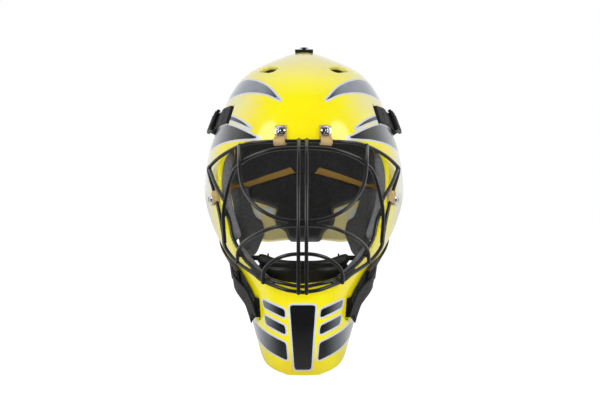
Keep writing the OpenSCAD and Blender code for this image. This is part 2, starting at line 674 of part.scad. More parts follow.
// Elastic from a strap's split to its rivet on the back plate
module elastic(keys, from, rivet_at, left) left_of_right(left)
    color(webbing_black) difference() {
        ribbon(keys, from + split_gap, len(keys) - 1, 14);
        rivet_hole(rivet_at);
    }
module upper_webbing_left() upper_webbing(true);
module upper_webbing_right() upper_webbing(false);
module lower_webbing_left() lower_webbing(true);
module lower_webbing_right() lower_webbing(false);
module upper_buckle_left() upper_buckle(true);
module upper_buckle_right() upper_buckle(false);
module lower_buckle_left() lower_buckle(true);
module lower_buckle_right() lower_buckle(false);
split_gap = 0.02;
module upper_strap_left() strap(UPPER_STRAP, 0, UPPER_SPLIT, 8, true);
module upper_strap_right() strap(UPPER_STRAP, 0, UPPER_SPLIT, 8, false);
module upper_elastic_left() elastic(UPPER_STRAP, UPPER_SPLIT, back_rivets_at[1], true);
module upper_elastic_right() elastic(UPPER_STRAP, UPPER_SPLIT, back_rivets_at[1], false);
module lower_strap_left() strap(LOWER_STRAP, 0, LOWER_SPLIT, 8, true);
module lower_strap_right() strap(LOWER_STRAP, 0, LOWER_SPLIT, 8, false);
module lower_elastic_left() elastic(LOWER_STRAP, LOWER_SPLIT, back_rivets_at[3], true);
module lower_elastic_right() elastic(LOWER_STRAP, LOWER_SPLIT, back_rivets_at[3], false);

// Free end of the lower strap, hanging down over the chin slot
TAIL = [
    frame_key(LOWER_BUCKLE, [0.5 * buckle_l, -3, -under + 0.6]),
    frame_key(LOWER_BUCKLE, [-2, -4, eye_r + gap + strap_t / 2]),
    on_skin_key(58, -95, 6.5), on_skin_key(56, -106, 5.5), on_skin_key(55, -117, 5)
];
module strap_tail(left) strap(TAIL, 0, 4, 10, left);
module strap_tail_left() strap_tail(true);
module strap_tail_right() strap_tail(false);

// Webbing over the crown, doubled under its rivet, and the elastic behind its buckle
crown_mid = strap_mid + 0.2;
fold_mid = crown_mid + strap_t;
TOP_WEBBING = [
    on_skin_key(0, 154.6, crown_mid), on_skin_key(180, 155.4, crown_mid),
    on_skin_key(180, 154.2, crown_mid), frame_key(TOP_BUCKLE, [-6, 0, eye_low]),
    frame_key(TOP_BUCKLE, eye_in)
];
TOP_FOLD = [
    on_skin_key(0, 154.7, fold_mid), on_skin_key(180, 155.3, fold_mid),
    on_skin_key(180, 154, fold_mid)
];
TOP_ELASTIC = [
    frame_key(TOP_BUCKLE, [eye_r + gap, 0, under]), frame_key(TOP_BUCKLE, [buckle_l, 0, under]),
    on_skin_key(180, 140, strap_mid + 0.8), on_skin_key(180, 132, strap_mid),
    on_skin_key(180, 122, strap_mid)
];
module top_webbing() {
    color(webbing_black) difference() {
        union() {
            ribbon(TOP_WEBBING, 0, 4, 12);
            ribbon(TOP_FOLD, 0, 2, 6);
            on_frame(TOP_BUCKLE) rotate([90, 0, 0]) cylinder(r = eye_r, h = strap_w, center = true);
        }
        on_frame(TOP_BUCKLE) rotate([90, 0, 0])
            cylinder(d = loop_bar_d + 2 * gap, h = 2 * strap_w, center = true);
        rivet_hole(crown_rivet_at);
    }
}
module top_buckle() on_frame(TOP_BUCKLE) ladder_lock();
module top_elastic() {
    color(webbing_black) difference() {
        ribbon(TOP_ELASTIC, 0, 4, 12);
        rivet_hole(back_rivets_at[0]);
    }
}
// Rivet with a domed head, its shank flush inside the wall
module rivet(place, seat) {
    dome = 0.22 * rivet_d;
    on_skin(place[0], place[1], seat) {
        intersection() {
            translate([0, 0, dome - 0.75 * rivet_d]) sphere(r = 0.75 * rivet_d);
            cylinder(d = rivet_d, h = rivet_d);
        }
        translate([0, 0, -seat - shell_t]) cylinder(d = rivet_shank, h = seat + shell_t + 0.3);
    }
}
module top_rivet() color([0.3, 0.3, 0.3])
    rivet(crown_rivet_at, fold_mid + strap_t / 2 + 2 * gap);
module back_rivets() color([0.3, 0.3, 0.3]) for (p = back_rivets_at)
    rivet(p, strap_mid + strap_t / 2 + 2 * gap);

shell();
back_plate();
cage_rim();
cage_brow_arch();
cage_opening_loop();
cage_eye_loop();
cage_nose_arch();
cage_mouth_arch();
cage_bar_left();
cage_bar_right();
cage_braces();
top_clip_left();
top_clip_right();
side_clip_left();
side_clip_right();
clip_screws();
clip_nuts();
forehead_pad();
crown_pad();
side_pad_left();
side_pad_right();
jaw_pad_left();
jaw_pad_right();
chin_cup();
chin_studs();
back_top_pad();
back_centre_pad();
back_side_pad_left();
back_side_pad_right();
hook_patches();
top_webbing();
top_buckle();
top_elastic();
top_rivet();
back_rivets();
upper_webbing_left();
upper_webbing_right();
upper_buckle_left();
upper_buckle_right();
upper_strap_left();
upper_strap_right();
upper_elastic_left();
upper_elastic_right();
lower_webbing_left();
lower_webbing_right();
lower_buckle_left();
lower_buckle_right();
lower_strap_left();
lower_strap_right();
lower_elastic_left();
lower_elastic_right();
strap_tail_left();
strap_tail_right();
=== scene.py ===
"""Looks of a goalkeeper helmet: painted shell, wire cage, foam lining, chin cup and strap harness.

Sizes are in millimetres in the helmet's own axes, as in the part's source: X runs across
the face, -Y is the front and +Z is up. A form is scaled to metres when it becomes a piece.
Right-hand pieces are built, and left-hand pieces are their mirror images.
"""
import logging
import math
from dataclasses import dataclass, field
from enum import Enum
from typing import Callable, Sequence

import bpy
import numpy as np
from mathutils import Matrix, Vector


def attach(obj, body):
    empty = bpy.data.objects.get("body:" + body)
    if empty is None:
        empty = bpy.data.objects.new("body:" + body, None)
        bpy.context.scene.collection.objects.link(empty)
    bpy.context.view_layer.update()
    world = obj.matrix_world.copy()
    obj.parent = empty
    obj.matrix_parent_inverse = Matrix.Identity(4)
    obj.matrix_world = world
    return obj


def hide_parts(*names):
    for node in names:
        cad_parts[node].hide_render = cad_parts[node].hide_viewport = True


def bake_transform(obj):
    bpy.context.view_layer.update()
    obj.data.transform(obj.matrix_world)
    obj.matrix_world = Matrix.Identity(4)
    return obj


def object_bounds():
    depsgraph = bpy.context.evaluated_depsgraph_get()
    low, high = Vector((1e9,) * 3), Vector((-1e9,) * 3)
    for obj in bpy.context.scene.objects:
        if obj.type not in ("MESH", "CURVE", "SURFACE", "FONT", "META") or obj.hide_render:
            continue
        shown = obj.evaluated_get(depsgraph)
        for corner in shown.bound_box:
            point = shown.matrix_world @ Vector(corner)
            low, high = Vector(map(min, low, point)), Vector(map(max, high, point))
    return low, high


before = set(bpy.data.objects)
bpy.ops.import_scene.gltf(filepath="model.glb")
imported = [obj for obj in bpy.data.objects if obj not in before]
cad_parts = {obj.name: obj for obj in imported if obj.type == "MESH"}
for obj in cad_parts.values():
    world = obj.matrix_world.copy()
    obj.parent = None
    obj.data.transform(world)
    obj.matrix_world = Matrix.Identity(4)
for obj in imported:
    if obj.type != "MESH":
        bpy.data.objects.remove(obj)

log = logging.getLogger("helmet")
CAD_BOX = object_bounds()
MM = 0.001
WHITE = (1.0, 1.0, 1.0)
Points = np.ndarray
Colour = tuple[float, float, float]
Pair = tuple[float, float]
Pairs = Sequence[Pair]
Keys = Sequence[Sequence[float]]
Field = Callable[[Points, Points], np.ndarray]


# Small maths

def srgb(red: float, green: float, blue: float) -> Colour:
    """Linear colour of an 8-bit display colour."""
    shares = (value / 255 for value in (red, green, blue))
    return tuple(s / 12.92 if s <= 0.04045 else ((s + 0.055) / 1.055) ** 2.4 for s in shares)


def unit(vectors: Points) -> Points:
    """Vectors of length one along the last axis."""
    return vectors / np.maximum(np.linalg.norm(vectors, axis=-1, keepdims=True), 1e-12)


def cubic(knots: Points, where: np.ndarray) -> Points:
    """Reads a smooth curve, whose first and last knots only give its end slopes.

    Args:
        knots: rows of numbers.
        where: places on the curve, counted in knots from the second one.

    Returns:
        One row for each place.
    """
    index = np.clip(np.floor(where).astype(int), 0, len(knots) - 4)
    t = (where - index)[..., None]
    a, b, c, d = (knots[index + k] for k in range(4))
    return ((3 * b - a - 3 * c + d) * t ** 3 + (2 * a - 5 * b + 4 * c - d) * t * t
            + (c - a) * t + 2 * b) / 2


def curve_at(keys: Keys, where: Sequence[float]) -> Points:
    """Reads the smooth curve that passes through its keys.

    Args:
        keys: rows of numbers.
        where: places on the curve, counted in keys.

    Returns:
        One row for each place.
    """
    rows = np.array(keys, float)
    knots = np.vstack([2 * rows[0] - rows[1], rows, 2 * rows[-1] - rows[-2]])
    return cubic(knots, np.asarray(where, float))


def smooth_line(keys: Keys, count: int) -> Points:
    """A number of rows along the smooth curve through its keys."""
    return curve_at(keys, np.linspace(0, len(keys) - 1, count))


def run_along(line: Points) -> np.ndarray:
    """Distance of each point of a line from its start."""
    return np.concatenate([[0], np.cumsum(np.linalg.norm(np.diff(line, axis=0), axis=1))])


def rise(value: np.ndarray, low: float, high: float) -> np.ndarray:
    """Smooth rise from 0 at low to 1 at high, or fall where high is below low."""
    share = np.clip((value - low) / (high - low), 0, 1)
    return share * share * (3 - 2 * share)


def even_places(keys: Keys, spacing: float, start: float = 0,
                end: float | None = None) -> np.ndarray:
    """Places along a smooth curve that are about a spacing apart.

    Args:
        keys: rows whose first three numbers are points in millimetres.
        spacing: distance between places, in millimetres.
        start: first place, counted in keys.
        end: last place, or the last key.

    Returns:
        The places, counted in keys.
    """
    fine = np.linspace(start, len(keys) - 1 if end is None else end, 600)
    run = run_along(curve_at(keys, fine)[:, :3])
    count = max(2, int(round(run[-1] / spacing)) + 1)
    return np.interp(np.linspace(0, run[-1], count), run, fine)


def mirrored_route(half: Keys) -> list[Sequence[float]]:
    """A whole route from its right half, which starts at the middle of the face."""
    return [(-p[0], p[1], p[2]) for p in reversed(half[1:])] + list(half)


def inside_outline(points: Points, outline: Points) -> np.ndarray:
    """Tells which flat points lie inside a closed outline.

    Args:
        points: points in the outline's two coordinates.
        outline: its corners.

    Returns:
        True for each point inside.
    """
    inside = np.zeros(len(points), bool)
    for (ax, ay), (bx, by) in zip(outline, np.roll(outline, -1, axis=0)):
        crosses = (ay > points[:, 1]) != (by > points[:, 1])
        if ay != by:
            reach = (bx - ax) * (points[:, 1] - ay) / (by - ay) + ax
            inside ^= crosses & (points[:, 0] < reach)
    return inside


def nearest_on_outline(points: Points, outline: Points) -> tuple[np.ndarray, Points]:
    """Finds the nearest point of a closed outline, in two or three dimensions.

    Args:
        points: points to measure from.
        outline: corners of the outline, with straight sides between them.

    Returns:
        The distances, and the unit vectors from the outline to the points.
    """
    best = np.full(len(points), 1e9)
    away = np.zeros_like(points)
    for start, end in zip(outline, np.roll(outline, -1, axis=0)):
        side = end - start
        share = np.clip((points - start) @ side / max(side @ side, 1e-12), 0, 1)
        gap = points - start - share[:, None] * side
        distance = np.linalg.norm(gap, axis=1)
        nearer = distance < best
        best = np.where(nearer, distance, best)
        away[nearer] = gap[nearer]
    return best, unit(away)


def rounded(outline: Points, radius: float, scale: Pair = (1, 1),
            steps: int = 5) -> Points:
    """Rounds the corners of a flat closed outline.

    Args:
        outline: the corners.
        radius: how far along each side a corner's arc starts, in scaled units.
        scale: what each coordinate is multiplied by to be measured in millimetres.
        steps: points in each arc.

    Returns:
        The corners of the rounded outline.
    """
    flat = np.array(outline, float) * scale
    arcs = []
    for before, here, after in zip(np.roll(flat, 1, axis=0), flat, np.roll(flat, -1, axis=0)):
        back, ahead = before - here, after - here
        cut_back = min(radius, 0.48 * np.linalg.norm(back))
        cut_ahead = min(radius, 0.48 * np.linalg.norm(ahead))
        start, end = here + cut_back * unit(back), here + cut_ahead * unit(ahead)
        for t in np.linspace(0, 1, steps):
            arcs.append((1 - t) ** 2 * start + 2 * t * (1 - t) * here + t * t * end)
    return np.array(arcs) / scale


# Forms

@dataclass
class Form:
    """A mesh in millimetres, with the finish number of each face and fields on its points."""
    points: Points
    faces: list[tuple[int, ...]]
    finishes: list[int] = field(default_factory=list)
    fields: dict[str, np.ndarray] = field(default_factory=dict)

    def __post_init__(self) -> None:
        """Gives every face the first finish where none is stated."""
        self.finishes = self.finishes or [0] * len(self.faces)

    def __add__(self, other: "Form") -> "Form":
        """Joins two forms into one. A field that one of them lacks is 0 there."""
        shift = len(self.points)
        fields = {}
        for name, values in {**self.fields, **other.fields}.items():
            fields[name] = np.concatenate([
                form.fields.get(name, np.zeros((len(form.points), *values.shape[1:])))
                for form in (self, other)])
        return Form(np.vstack([self.points, other.points]),
                    self.faces + [tuple(i + shift for i in f) for f in other.faces],
                    self.finishes + other.finishes, fields)

    def mirrored(self) -> "Form":
        """The left-hand twin of a right-hand form."""
        return Form(self.points * [-1, 1, 1], [tuple(reversed(f)) for f in self.faces],
                    list(self.finishes), dict(self.fields))

    def with_finish(self, number: int) -> "Form":
        """The same form with one finish number on every face."""
        return Form(self.points, self.faces, [number] * len(self.faces), self.fields)

    def piece(self, name: str, finishes: Sequence["Finish"], crease: float
              ) -> bpy.types.Object:
        """Makes the Blender object.

        Args:
            name: name of the piece.
            finishes: what the finish numbers of the faces stand for.
            crease: angle in degrees above which an edge stays sharp.

        Returns:
            The object, in metres, without a parent.
        """
        mesh = bpy.data.meshes.new(name)
        mesh.from_pydata((self.points * MM).tolist(), [], self.faces)
        for finish in finishes:
            mesh.materials.append(finish.material())
        mesh.polygons.foreach_set("material_index", self.finishes)
        for key, values in self.fields.items():
            kind = "FLOAT_VECTOR" if values.ndim == 2 else "FLOAT"
            layer = mesh.attributes.new(key, kind, "POINT")
            layer.data.foreach_set("vector" if values.ndim == 2 else "value",
                                   values.astype(np.float32).ravel())
        mesh.shade_smooth()
        mesh.set_sharp_from_angle(angle=math.radians(crease))
        mesh.update()
        piece = bpy.data.objects.new(name, mesh)
        bpy.context.scene.collection.objects.link(piece)
        return piece


def joined(forms: Sequence[Form]) -> Form:
    """One form from several."""
    return sum(forms[1:], forms[0])


def ring_faces(rows: int, columns: int, closed_rows: bool, closed_columns: bool = True
               ) -> list[tuple[int, ...]]:
    """Quads between the points of a grid.

    Args:
        rows: number of rows.
        columns: points in each row.
        closed_rows: whether the last row joins the first.
        closed_columns: whether the last point of a row joins its first.

    Returns:
        The faces, row after row.
    """
    faces = []
    for k in range(rows if closed_rows else rows - 1):
        here, there = k * columns, (k + 1) % rows * columns
        for i in range(columns if closed_columns else columns - 1):
            j = (i + 1) % columns
            faces.append((here + i, here + j, there + j, there + i))
    return faces


def capped_faces(rows: int, columns: int) -> list[tuple[int, ...]]:
    """Faces of a grid whose rows are rings, with a face over the first and the last."""
    last = (rows - 1) * columns
    return [*ring_faces(rows, columns, False), tuple(range(columns - 1, -1, -1)),
            tuple(range(last, last + columns))]


@dataclass
class Sweep:
    """A section carried along stations, each with its own sideways and face directions."""
    centres: Points
    sideways: Points
    facing: Points

    @classmethod
    def along_route(cls, keys: Keys, spacing: float = 1.5, start: float = 0,
                    end: float | None = None) -> "Sweep":
        """Sets stations along a smooth route.

        Args:
            keys: rows of a point and its face's normal.
            spacing: distance between stations.
            start: first place, counted in keys.
            end: last place, or the last key.

        Returns:
            The sweep.
        """
        places = even_places(keys, spacing, start, end)
        rows = curve_at(keys, places)
        ahead, back = curve_at(keys, places + 0.03), curve_at(keys, places - 0.03)
        way = unit(ahead[:, :3] - back[:, :3])
        sideways = unit(np.cross(rows[:, 3:], way))
        return cls(rows[:, :3], sideways, np.cross(way, sideways))

    @classmethod
    def along_line(cls, line: Points, facing: Points, closed: bool = False) -> "Sweep":
        """Sets stations at the points of a line.

        Args:
            line: the points.
            facing: a direction, or one for each point, that lies near the face's.
            closed: whether the last point joins the first.

        Returns:
            The sweep.
        """
        way = unit(np.roll(line, -1, axis=0) - np.roll(line, 1, axis=0) if closed
                   else np.gradient(line, axis=0))
        facing = np.broadcast_to(np.asarray(facing, float), line.shape)
        sideways = unit(np.cross(facing, way))
        return cls(line, sideways, np.cross(way, sideways))

    def form(self, section: Points, sizes: Points | None = None, closed: bool = False,
             dome: float = 0) -> Form:
        """Sweeps a closed section.

        Args:
            section: corners of the section, sideways and facing.
            sizes: how much wider and thicker each station is, or one for all.
            closed: whether the last station joins the first.
            dome: how far the ends are rounded over, in millimetres.

        Returns:
            The form, with a field named lay: along, sideways and facing, in millimetres.
        """
        centres, sideways, facing = self.centres, self.sideways, self.facing
        scale = np.broadcast_to(np.asarray(1.0 if sizes is None else sizes), (len(centres), 2))
        inset = np.zeros(len(centres))
        if dome and not closed:
            way = np.cross(sideways, facing)
            arc = np.array([0.15, 0.5, 0.87, 1]) * dome
            drop = dome - np.sqrt(dome ** 2 - arc ** 2) * 0.98
            centres = np.vstack([centres[0] + way[0] * (dome - arc[::-1, None]), centres[1:-1],
                                 centres[-1] - way[-1] * (dome - arc[:, None])])
            sideways, facing, scale = (
                np.vstack([np.repeat(rows[:1], len(arc), 0), rows[1:-1],
                           np.repeat(rows[-1:], len(arc), 0)])
                for rows in (sideways, facing, scale))
            inset = np.concatenate([drop[::-1], inset[1:-1], drop])
        flat = section * (scale - inset[:, None] / np.abs(section).max(0))[:, None]
        points = (centres[:, None] + flat[..., :1] * sideways[:, None]
                  + flat[..., 1:] * facing[:, None])
        rows, columns = flat.shape[:2]
        run = np.broadcast_to(run_along(centres)[:, None, None], (rows, columns, 1))
        lay = np.concatenate([run, flat], 2)
        faces = ring_faces(rows, columns, True) if closed else capped_faces(rows, columns)
        return Form(points.reshape(-1, 3), faces, [], {"lay": lay.reshape(-1, 3)})


def circle(sides: int) -> Points:
    """Corners of a circle of radius one."""
    turn = np.arange(sides) * math.tau / sides
    return np.stack([np.cos(turn), np.sin(turn)], 1)


def flat_section(width: float, thickness: float, radius: float, steps: int = 4,
                 across: int = 6) -> Points:
    """Corners of a flat bar with rounded edges.

    Args:
        width: size sideways.
        thickness: size between its faces.
        radius: radius of the edges.
        steps: points in the arc of an edge.
        across: points on each face between the arcs.

    Returns:
        The corners, sideways and facing.
    """
    corners = []
    edge = width / 2 - radius
    for sx, sy, start in ((1, 1, 0), (-1, 1, 90), (-1, -1, 180), (1, -1, 270)):
        centre = np.array([sx * edge, sy * (thickness / 2 - radius)])
        for turn in np.radians(np.linspace(start, start + 90, steps)):
            corners.append(centre + radius * np.array([math.cos(turn), math.sin(turn)]))
        if sx == sy:
            for share in np.linspace(1, -1, across + 2)[1:-1]:
                corners.append(np.array([sx * share * edge, sy * thickness / 2]))
    return np.array(corners)


def tube(route: Points, diameter: float, closed: bool = False, sides: int = 16) -> Form:
    """A round bar along a line, with rounded ends unless it is closed."""
    sweep = Sweep.along_line(route, (0, 1, 0), closed)
    return sweep.form(diameter / 2 * circle(sides), closed=closed, dome=diameter / 2)


def lathe(profile: Pairs, sides: int = 40) -> Form:
    """Turns a profile of radius and height round Z, closed at both ends on the axis."""
    rows = [np.column_stack([radius * circle(sides), np.full(sides, height)])
            for radius, height in profile]
    return Form(np.vstack(rows), capped_faces(len(rows), sides))


# Skins and frames

@dataclass(frozen=True)
class Axes:
    """A place with three directions, as the part's source has them."""
    origin: Points
    x: Points
    y: Points
    z: Points

    def out(self, local: Sequence[float] | Points) -> Points:
        """Points given in these axes, in the helmet's own."""
        local = np.atleast_2d(np.asarray(local, float))
        points = self.origin + local @ np.stack([self.x, self.y, self.z])
        return points if len(points) > 1 else points[0]

    def into(self, points: Points) -> Points:
        """The helmet's points in these axes."""
        return (points - self.origin) @ np.stack([self.x, self.y, self.z], 1)

    def carry(self, form: Form) -> Form:
        """A form drawn in these axes, in the helmet's own."""
        return Form(self.out(form.points), form.faces, form.finishes, form.fields)


class Skin:
    """Smooth surface through rings of height, half width, middle, front and rear."""

    def __init__(self, rings: Keys) -> None:
        """Keeps the rings and the knots past both ends.

        Args:
            rings: the rings from the top down, in millimetres.
        """
        rows = np.array(rings, float)
        self.closed = rows[0][1] == 0
        turned = rows[1][[0, 1, 2, 4, 3]] * [1, -1, 1, 1, 1]
        first = turned if self.closed else 2 * rows[0] - rows[1]
        self.knots = np.vstack([first, rows, 2 * rows[-1] - rows[-2]])
        self.last = len(rows) - 1

    def ring(self, level: np.ndarray) -> Points:
        """Rings at levels counted in the drawn rings."""
        return cubic(self.knots, np.asarray(level, float))

    def half_width(self, height: float) -> float:
        """Half the skin's width at a height."""
        return self.ring(self.level(np.array([height])))[0][1]

    def level(self, height: np.ndarray) -> np.ndarray:
        """Finds levels by halving.

        Args:
            height: heights on the skin.

        Returns:
            The levels.
        """
        height = np.asarray(height, float)
        low, high = np.zeros_like(height), np.full_like(height, self.last)
        for _ in range(26):
            middle = (low + high) / 2
            above = self.ring(middle)[..., 0] > height
            low, high = np.where(above, middle, low), np.where(above, high, middle)
        return (low + high) / 2

    def point(self, turn: np.ndarray, level: np.ndarray) -> Points:
        """Points of the skin.

        Args:
            turn: degrees from the front.
            level: levels, counted in the drawn rings.

        Returns:
            The points.
        """
        q, angle = self.ring(level), np.radians(turn)
        c = np.cos(angle)
        depth = np.where(c > 0, q[..., 2] - q[..., 3], q[..., 4] - q[..., 2])
        return np.stack([q[..., 1] * np.sin(angle), q[..., 2] - depth * c, q[..., 0]], -1)

    def normal(self, turn: np.ndarray, level: np.ndarray) -> Points:
        """Outward directions.

        Args:
            turn: degrees from the front.
            level: levels, counted in the drawn rings.

        Returns:
            The directions. A closed skin faces straight up at its top.
        """
        around = self.point(turn + 1, level) - self.point(turn - 1, level)
        down = self.point(turn, level - 0.04) - self.point(turn, level + 0.04)
        normal = unit(np.cross(around, down))
        if self.closed:
            normal = np.where((np.asarray(level) < 0.05)[..., None], [0.0, 0.0, 1.0], normal)
        return normal

    def at(self, turn: np.ndarray, height: np.ndarray, off: np.ndarray = 0) -> Points:
        """Points at turns and heights, off the skin."""
        turn, height = np.broadcast_arrays(np.asarray(turn, float), np.asarray(height, float))
        level = self.level(height)
        return self.point(turn, level) + np.asarray(off)[..., None] * self.normal(turn, level)

    def locate(self, points: Points) -> np.ndarray:
        """Finds where points of the skin lie on it.

        Args:
            points: points on the skin or near it.

        Returns:
            The turn and height of each.
        """
        q = self.ring(self.level(points[:, 2]))
        forward = q[:, 2] - points[:, 1]
        depth = np.where(forward > 0, q[:, 2] - q[:, 3], q[:, 4] - q[:, 2])
        turn = np.arctan2(points[:, 0] / np.maximum(q[:, 1], 1e-3),
                          forward / np.maximum(depth, 1e-3))
        return np.stack([np.degrees(turn), points[:, 2]], 1)

    def axes(self, turn: float, height: float, off: float = 0, roll: float = 0,
             tip: float = 0) -> Axes:
        """Axes on the skin: X runs round the head, Y up it and Z out of it.

        Args:
            turn: degrees round from the front.
            height: height on the skin.
            off: how far off the skin the origin lies.
            roll: turn of X about Z, in degrees.
            tip: how far the X end lifts off the skin, in degrees.

        Returns:
            The axes.
        """
        level = self.level(np.array([height]))
        place = np.array([turn], float)
        normal = self.normal(place, level)[0]
        east = unit(self.point(place + 1, level)[0] - self.point(place - 1, level)[0])
        up = np.cross(normal, east)
        r, t = math.radians(roll), math.radians(tip)
        x = math.cos(r) * east + math.sin(r) * up
        y = math.cos(r) * up - math.sin(r) * east
        return Axes(self.point(place, level)[0] + off * normal,
                    math.cos(t) * x + math.sin(t) * normal, y,
                    math.cos(t) * normal - math.sin(t) * x)

    def key(self, turn: float, height: float, off: float) -> list[float]:
        """A strap's key on the skin: its point and its face's normal."""
        axes = self.axes(turn, height, off)
        return [*axes.origin, *axes.z]


HELMET = Skin([
    [155.5, 0, 8, 8, 8], [147, 30, 8, -29, 47], [131, 61, 8, -60, 80],
    [107, 79, 9, -87, 111], [82, 88.5, 10, -100, 128], [56, 98, 10, -106, 136],
    [28, 103.5, 10, -110, 138], [2, 104, 9, -114, 134], [-26, 96, 5, -120, 124],
    [-50, 84, -4, -127, 111], [-72, 71, -18, -133, 96], [-95, 60, -36, -137, 80],
    [-120, 52.5, -52, -138, 60], [-145, 45.5, -64, -131, 40], [-162, 41.5, -70, -119, 22],
    [-172, 36, -72, -108, 8],
])
CUP = Skin([
    [-50, 43, -74, -102, -60], [-58, 45, -74, -107, -60], [-68, 44, -74, -109, -60],
    [-78, 39, -75, -106, -62], [-86, 31, -76, -98, -66], [-91, 20, -79, -91, -70],
])
SHELL_T = 4.5
GAP = 0.3
FLATTEST = 0.06


@dataclass
class Wall:
    """A wall that follows a skin, cut where a field falls to nothing and closed by a rim."""
    skin: Skin
    turns: np.ndarray
    levels: np.ndarray
    keep: Field
    top: Callable[[np.ndarray], np.ndarray]
    low: Callable[[np.ndarray], np.ndarray]
    rim: Pairs
    wraps: bool = False

    def _snap(self, points: Points, normals: Points, kept: np.ndarray) -> None:
        """Moves the grid points nearest the cut onto it, so that no face is a sliver.

        Args:
            points: points of the grid, which are changed.
            normals: their outward directions.
            kept: how far each lies inside the cut, which is changed too.
        """
        grid = points.reshape(len(self.levels), len(self.turns), 3)
        step = np.full(grid.shape[:2], 9.0)
        right = np.linalg.norm(np.diff(grid, axis=1), axis=2)
        down = np.linalg.norm(np.diff(grid, axis=0), axis=2)
        for part, gaps in ((step[:, 1:], right), (step[:, :-1], right), (step[1:], down),
                           (step[:-1], down)):
            np.minimum(part, gaps, out=part)
        near = np.flatnonzero(np.abs(kept) < 0.3 * step.ravel())
        if not len(near):
            return
        normal, place = normals[near], points[near]
        first = unit(np.cross(normal, [0.31, 0.2, 0.93]))
        second = np.cross(normal, first)
        for _ in range(2):
            value = self.keep(place, normal)
            slopes = [(self.keep(place + 0.05 * way, normal)
                       - self.keep(place - 0.05 * way, normal)) / 0.1 for way in (first, second)]
            steep = np.maximum(slopes[0] ** 2 + slopes[1] ** 2, 0.3)
            place = place - (value / steep)[:, None] * (
                slopes[0][:, None] * first + slopes[1][:, None] * second)
        points[near] = place
        kept[near] = 0

    def form(self) -> Form:
        """Builds the wall.

        Returns:
            The form: finish 0 on the outer face, 1 on the inner face and 2 on the rim.
        """
        rows, columns = len(self.levels), len(self.turns)
        level, turn = (a.ravel() for a in np.meshgrid(self.levels, self.turns, indexing="ij"))
        points, normals = self.skin.point(turn, level), self.skin.normal(turn, level)
        kept = self.keep(points, normals)
        self._snap(points, normals, kept)
        quads = ring_faces(rows, columns, False, self.wraps)
        corners = np.array(quads)[:, ::-1]
        values = kept[corners]
        faces = [tuple(f) for f in corners[(values >= 0).all(1) & (values > 0).any(1)].tolist()]
        mixed = corners[(values > 0).any(1) & (values < 0).any(1)]
        pairs: dict[tuple[int, int], int] = {}
        for quad in mixed.tolist():
            face = []
            for a, b in zip(quad, quad[1:] + quad[:1]):
                if kept[a] >= 0:
                    face.append(a)
                if kept[a] * kept[b] < 0:
                    pair = (min(a, b), max(a, b))
                    face.append(len(points) + pairs.setdefault(pair, len(pairs)))
            if len(face) > 2:
                faces.append(tuple(face))
        places, ways = self._crossings(points, normals, kept, np.array(list(pairs)))
        return self._solid(np.vstack([points, places]), np.vstack([normals, ways]),
                           np.concatenate([kept, np.zeros(len(places))]), faces)

    def _crossings(self, points: Points, normals: Points, kept: np.ndarray, pairs: np.ndarray
                   ) -> tuple[Points, Points]:
        """Finds where the cut crosses the lines between pairs of points.

        Args:
            points: points of the grid.
            normals: their outward directions.
            kept: how far each lies inside the cut.
            pairs: numbers of the points on both sides of each crossing.

        Returns:
            The crossings and their normals.
        """
        a, b = pairs.T
        fall = kept[a] - kept[b]
        share = (kept[a] / fall)[:, None]
        for _ in range(2):
            normal = unit((1 - share) * normals[a] + share * normals[b])
            value = self.keep((1 - share) * points[a] + share * points[b], normal)
            share = np.clip(share + (value / fall)[:, None], 0.02, 0.98)
        return (1 - share) * points[a] + share * points[b], normal

    def _solid(self, points: Points, normals: Points, kept: np.ndarray,
               faces: list[tuple[int, ...]]) -> Form:
        """Closes the cut sheet with its inner face and its rim.

        Args:
            points: points on the skin.
            normals: their outward directions.
            kept: how far each lies inside the cut.
            faces: faces of the sheet.

        Returns:
            The closed form.
        """
        used = np.unique(np.concatenate([np.array(f) for f in faces]))
        number = np.full(len(points), -1)
        number[used] = np.arange(len(used))
        points, normals, kept = points[used], normals[used], kept[used]
        faces = [tuple(number[list(f)].tolist()) for f in faces]
        edges = dict.fromkeys(edge for f in faces for edge in zip(f, f[1:] + f[:1]))
        border = [(a, b) for a, b in edges if (b, a) not in edges]
        ahead = np.zeros_like(points)
        for a, b in border:
            way = unit(points[b] - points[a])
            ahead[a] += way
            ahead[b] += way
        on_rim = np.unique(np.array(border))
        outward = unit(np.cross(ahead[on_rim], normals[on_rim]))
        top = points + self.top(kept)[:, None] * normals
        low = points + self.low(kept)[:, None] * normals
        rim = [top[on_rim] * (1 - down) + low[on_rim] * down + out * outward
               for out, down in self.rim]
        count = len(points)
        starts = [2 * count + step * len(on_rim) for step in range(len(rim))]
        place = {int(v): i for i, v in enumerate(on_rim)}
        solid = faces + [tuple(count + i for i in reversed(f)) for f in faces]
        finishes = [0] * len(faces) + [1] * len(faces)
        for edge in border:
            a, b = ([v, *(start + place[v] for start in starts), count + v] for v in edge)
            solid += [(b[k], a[k], a[k + 1], b[k + 1]) for k in range(len(a) - 1)]
        finishes += [2] * (len(solid) - len(finishes))
        return Form(np.vstack([top, low, *rim]), solid, finishes)


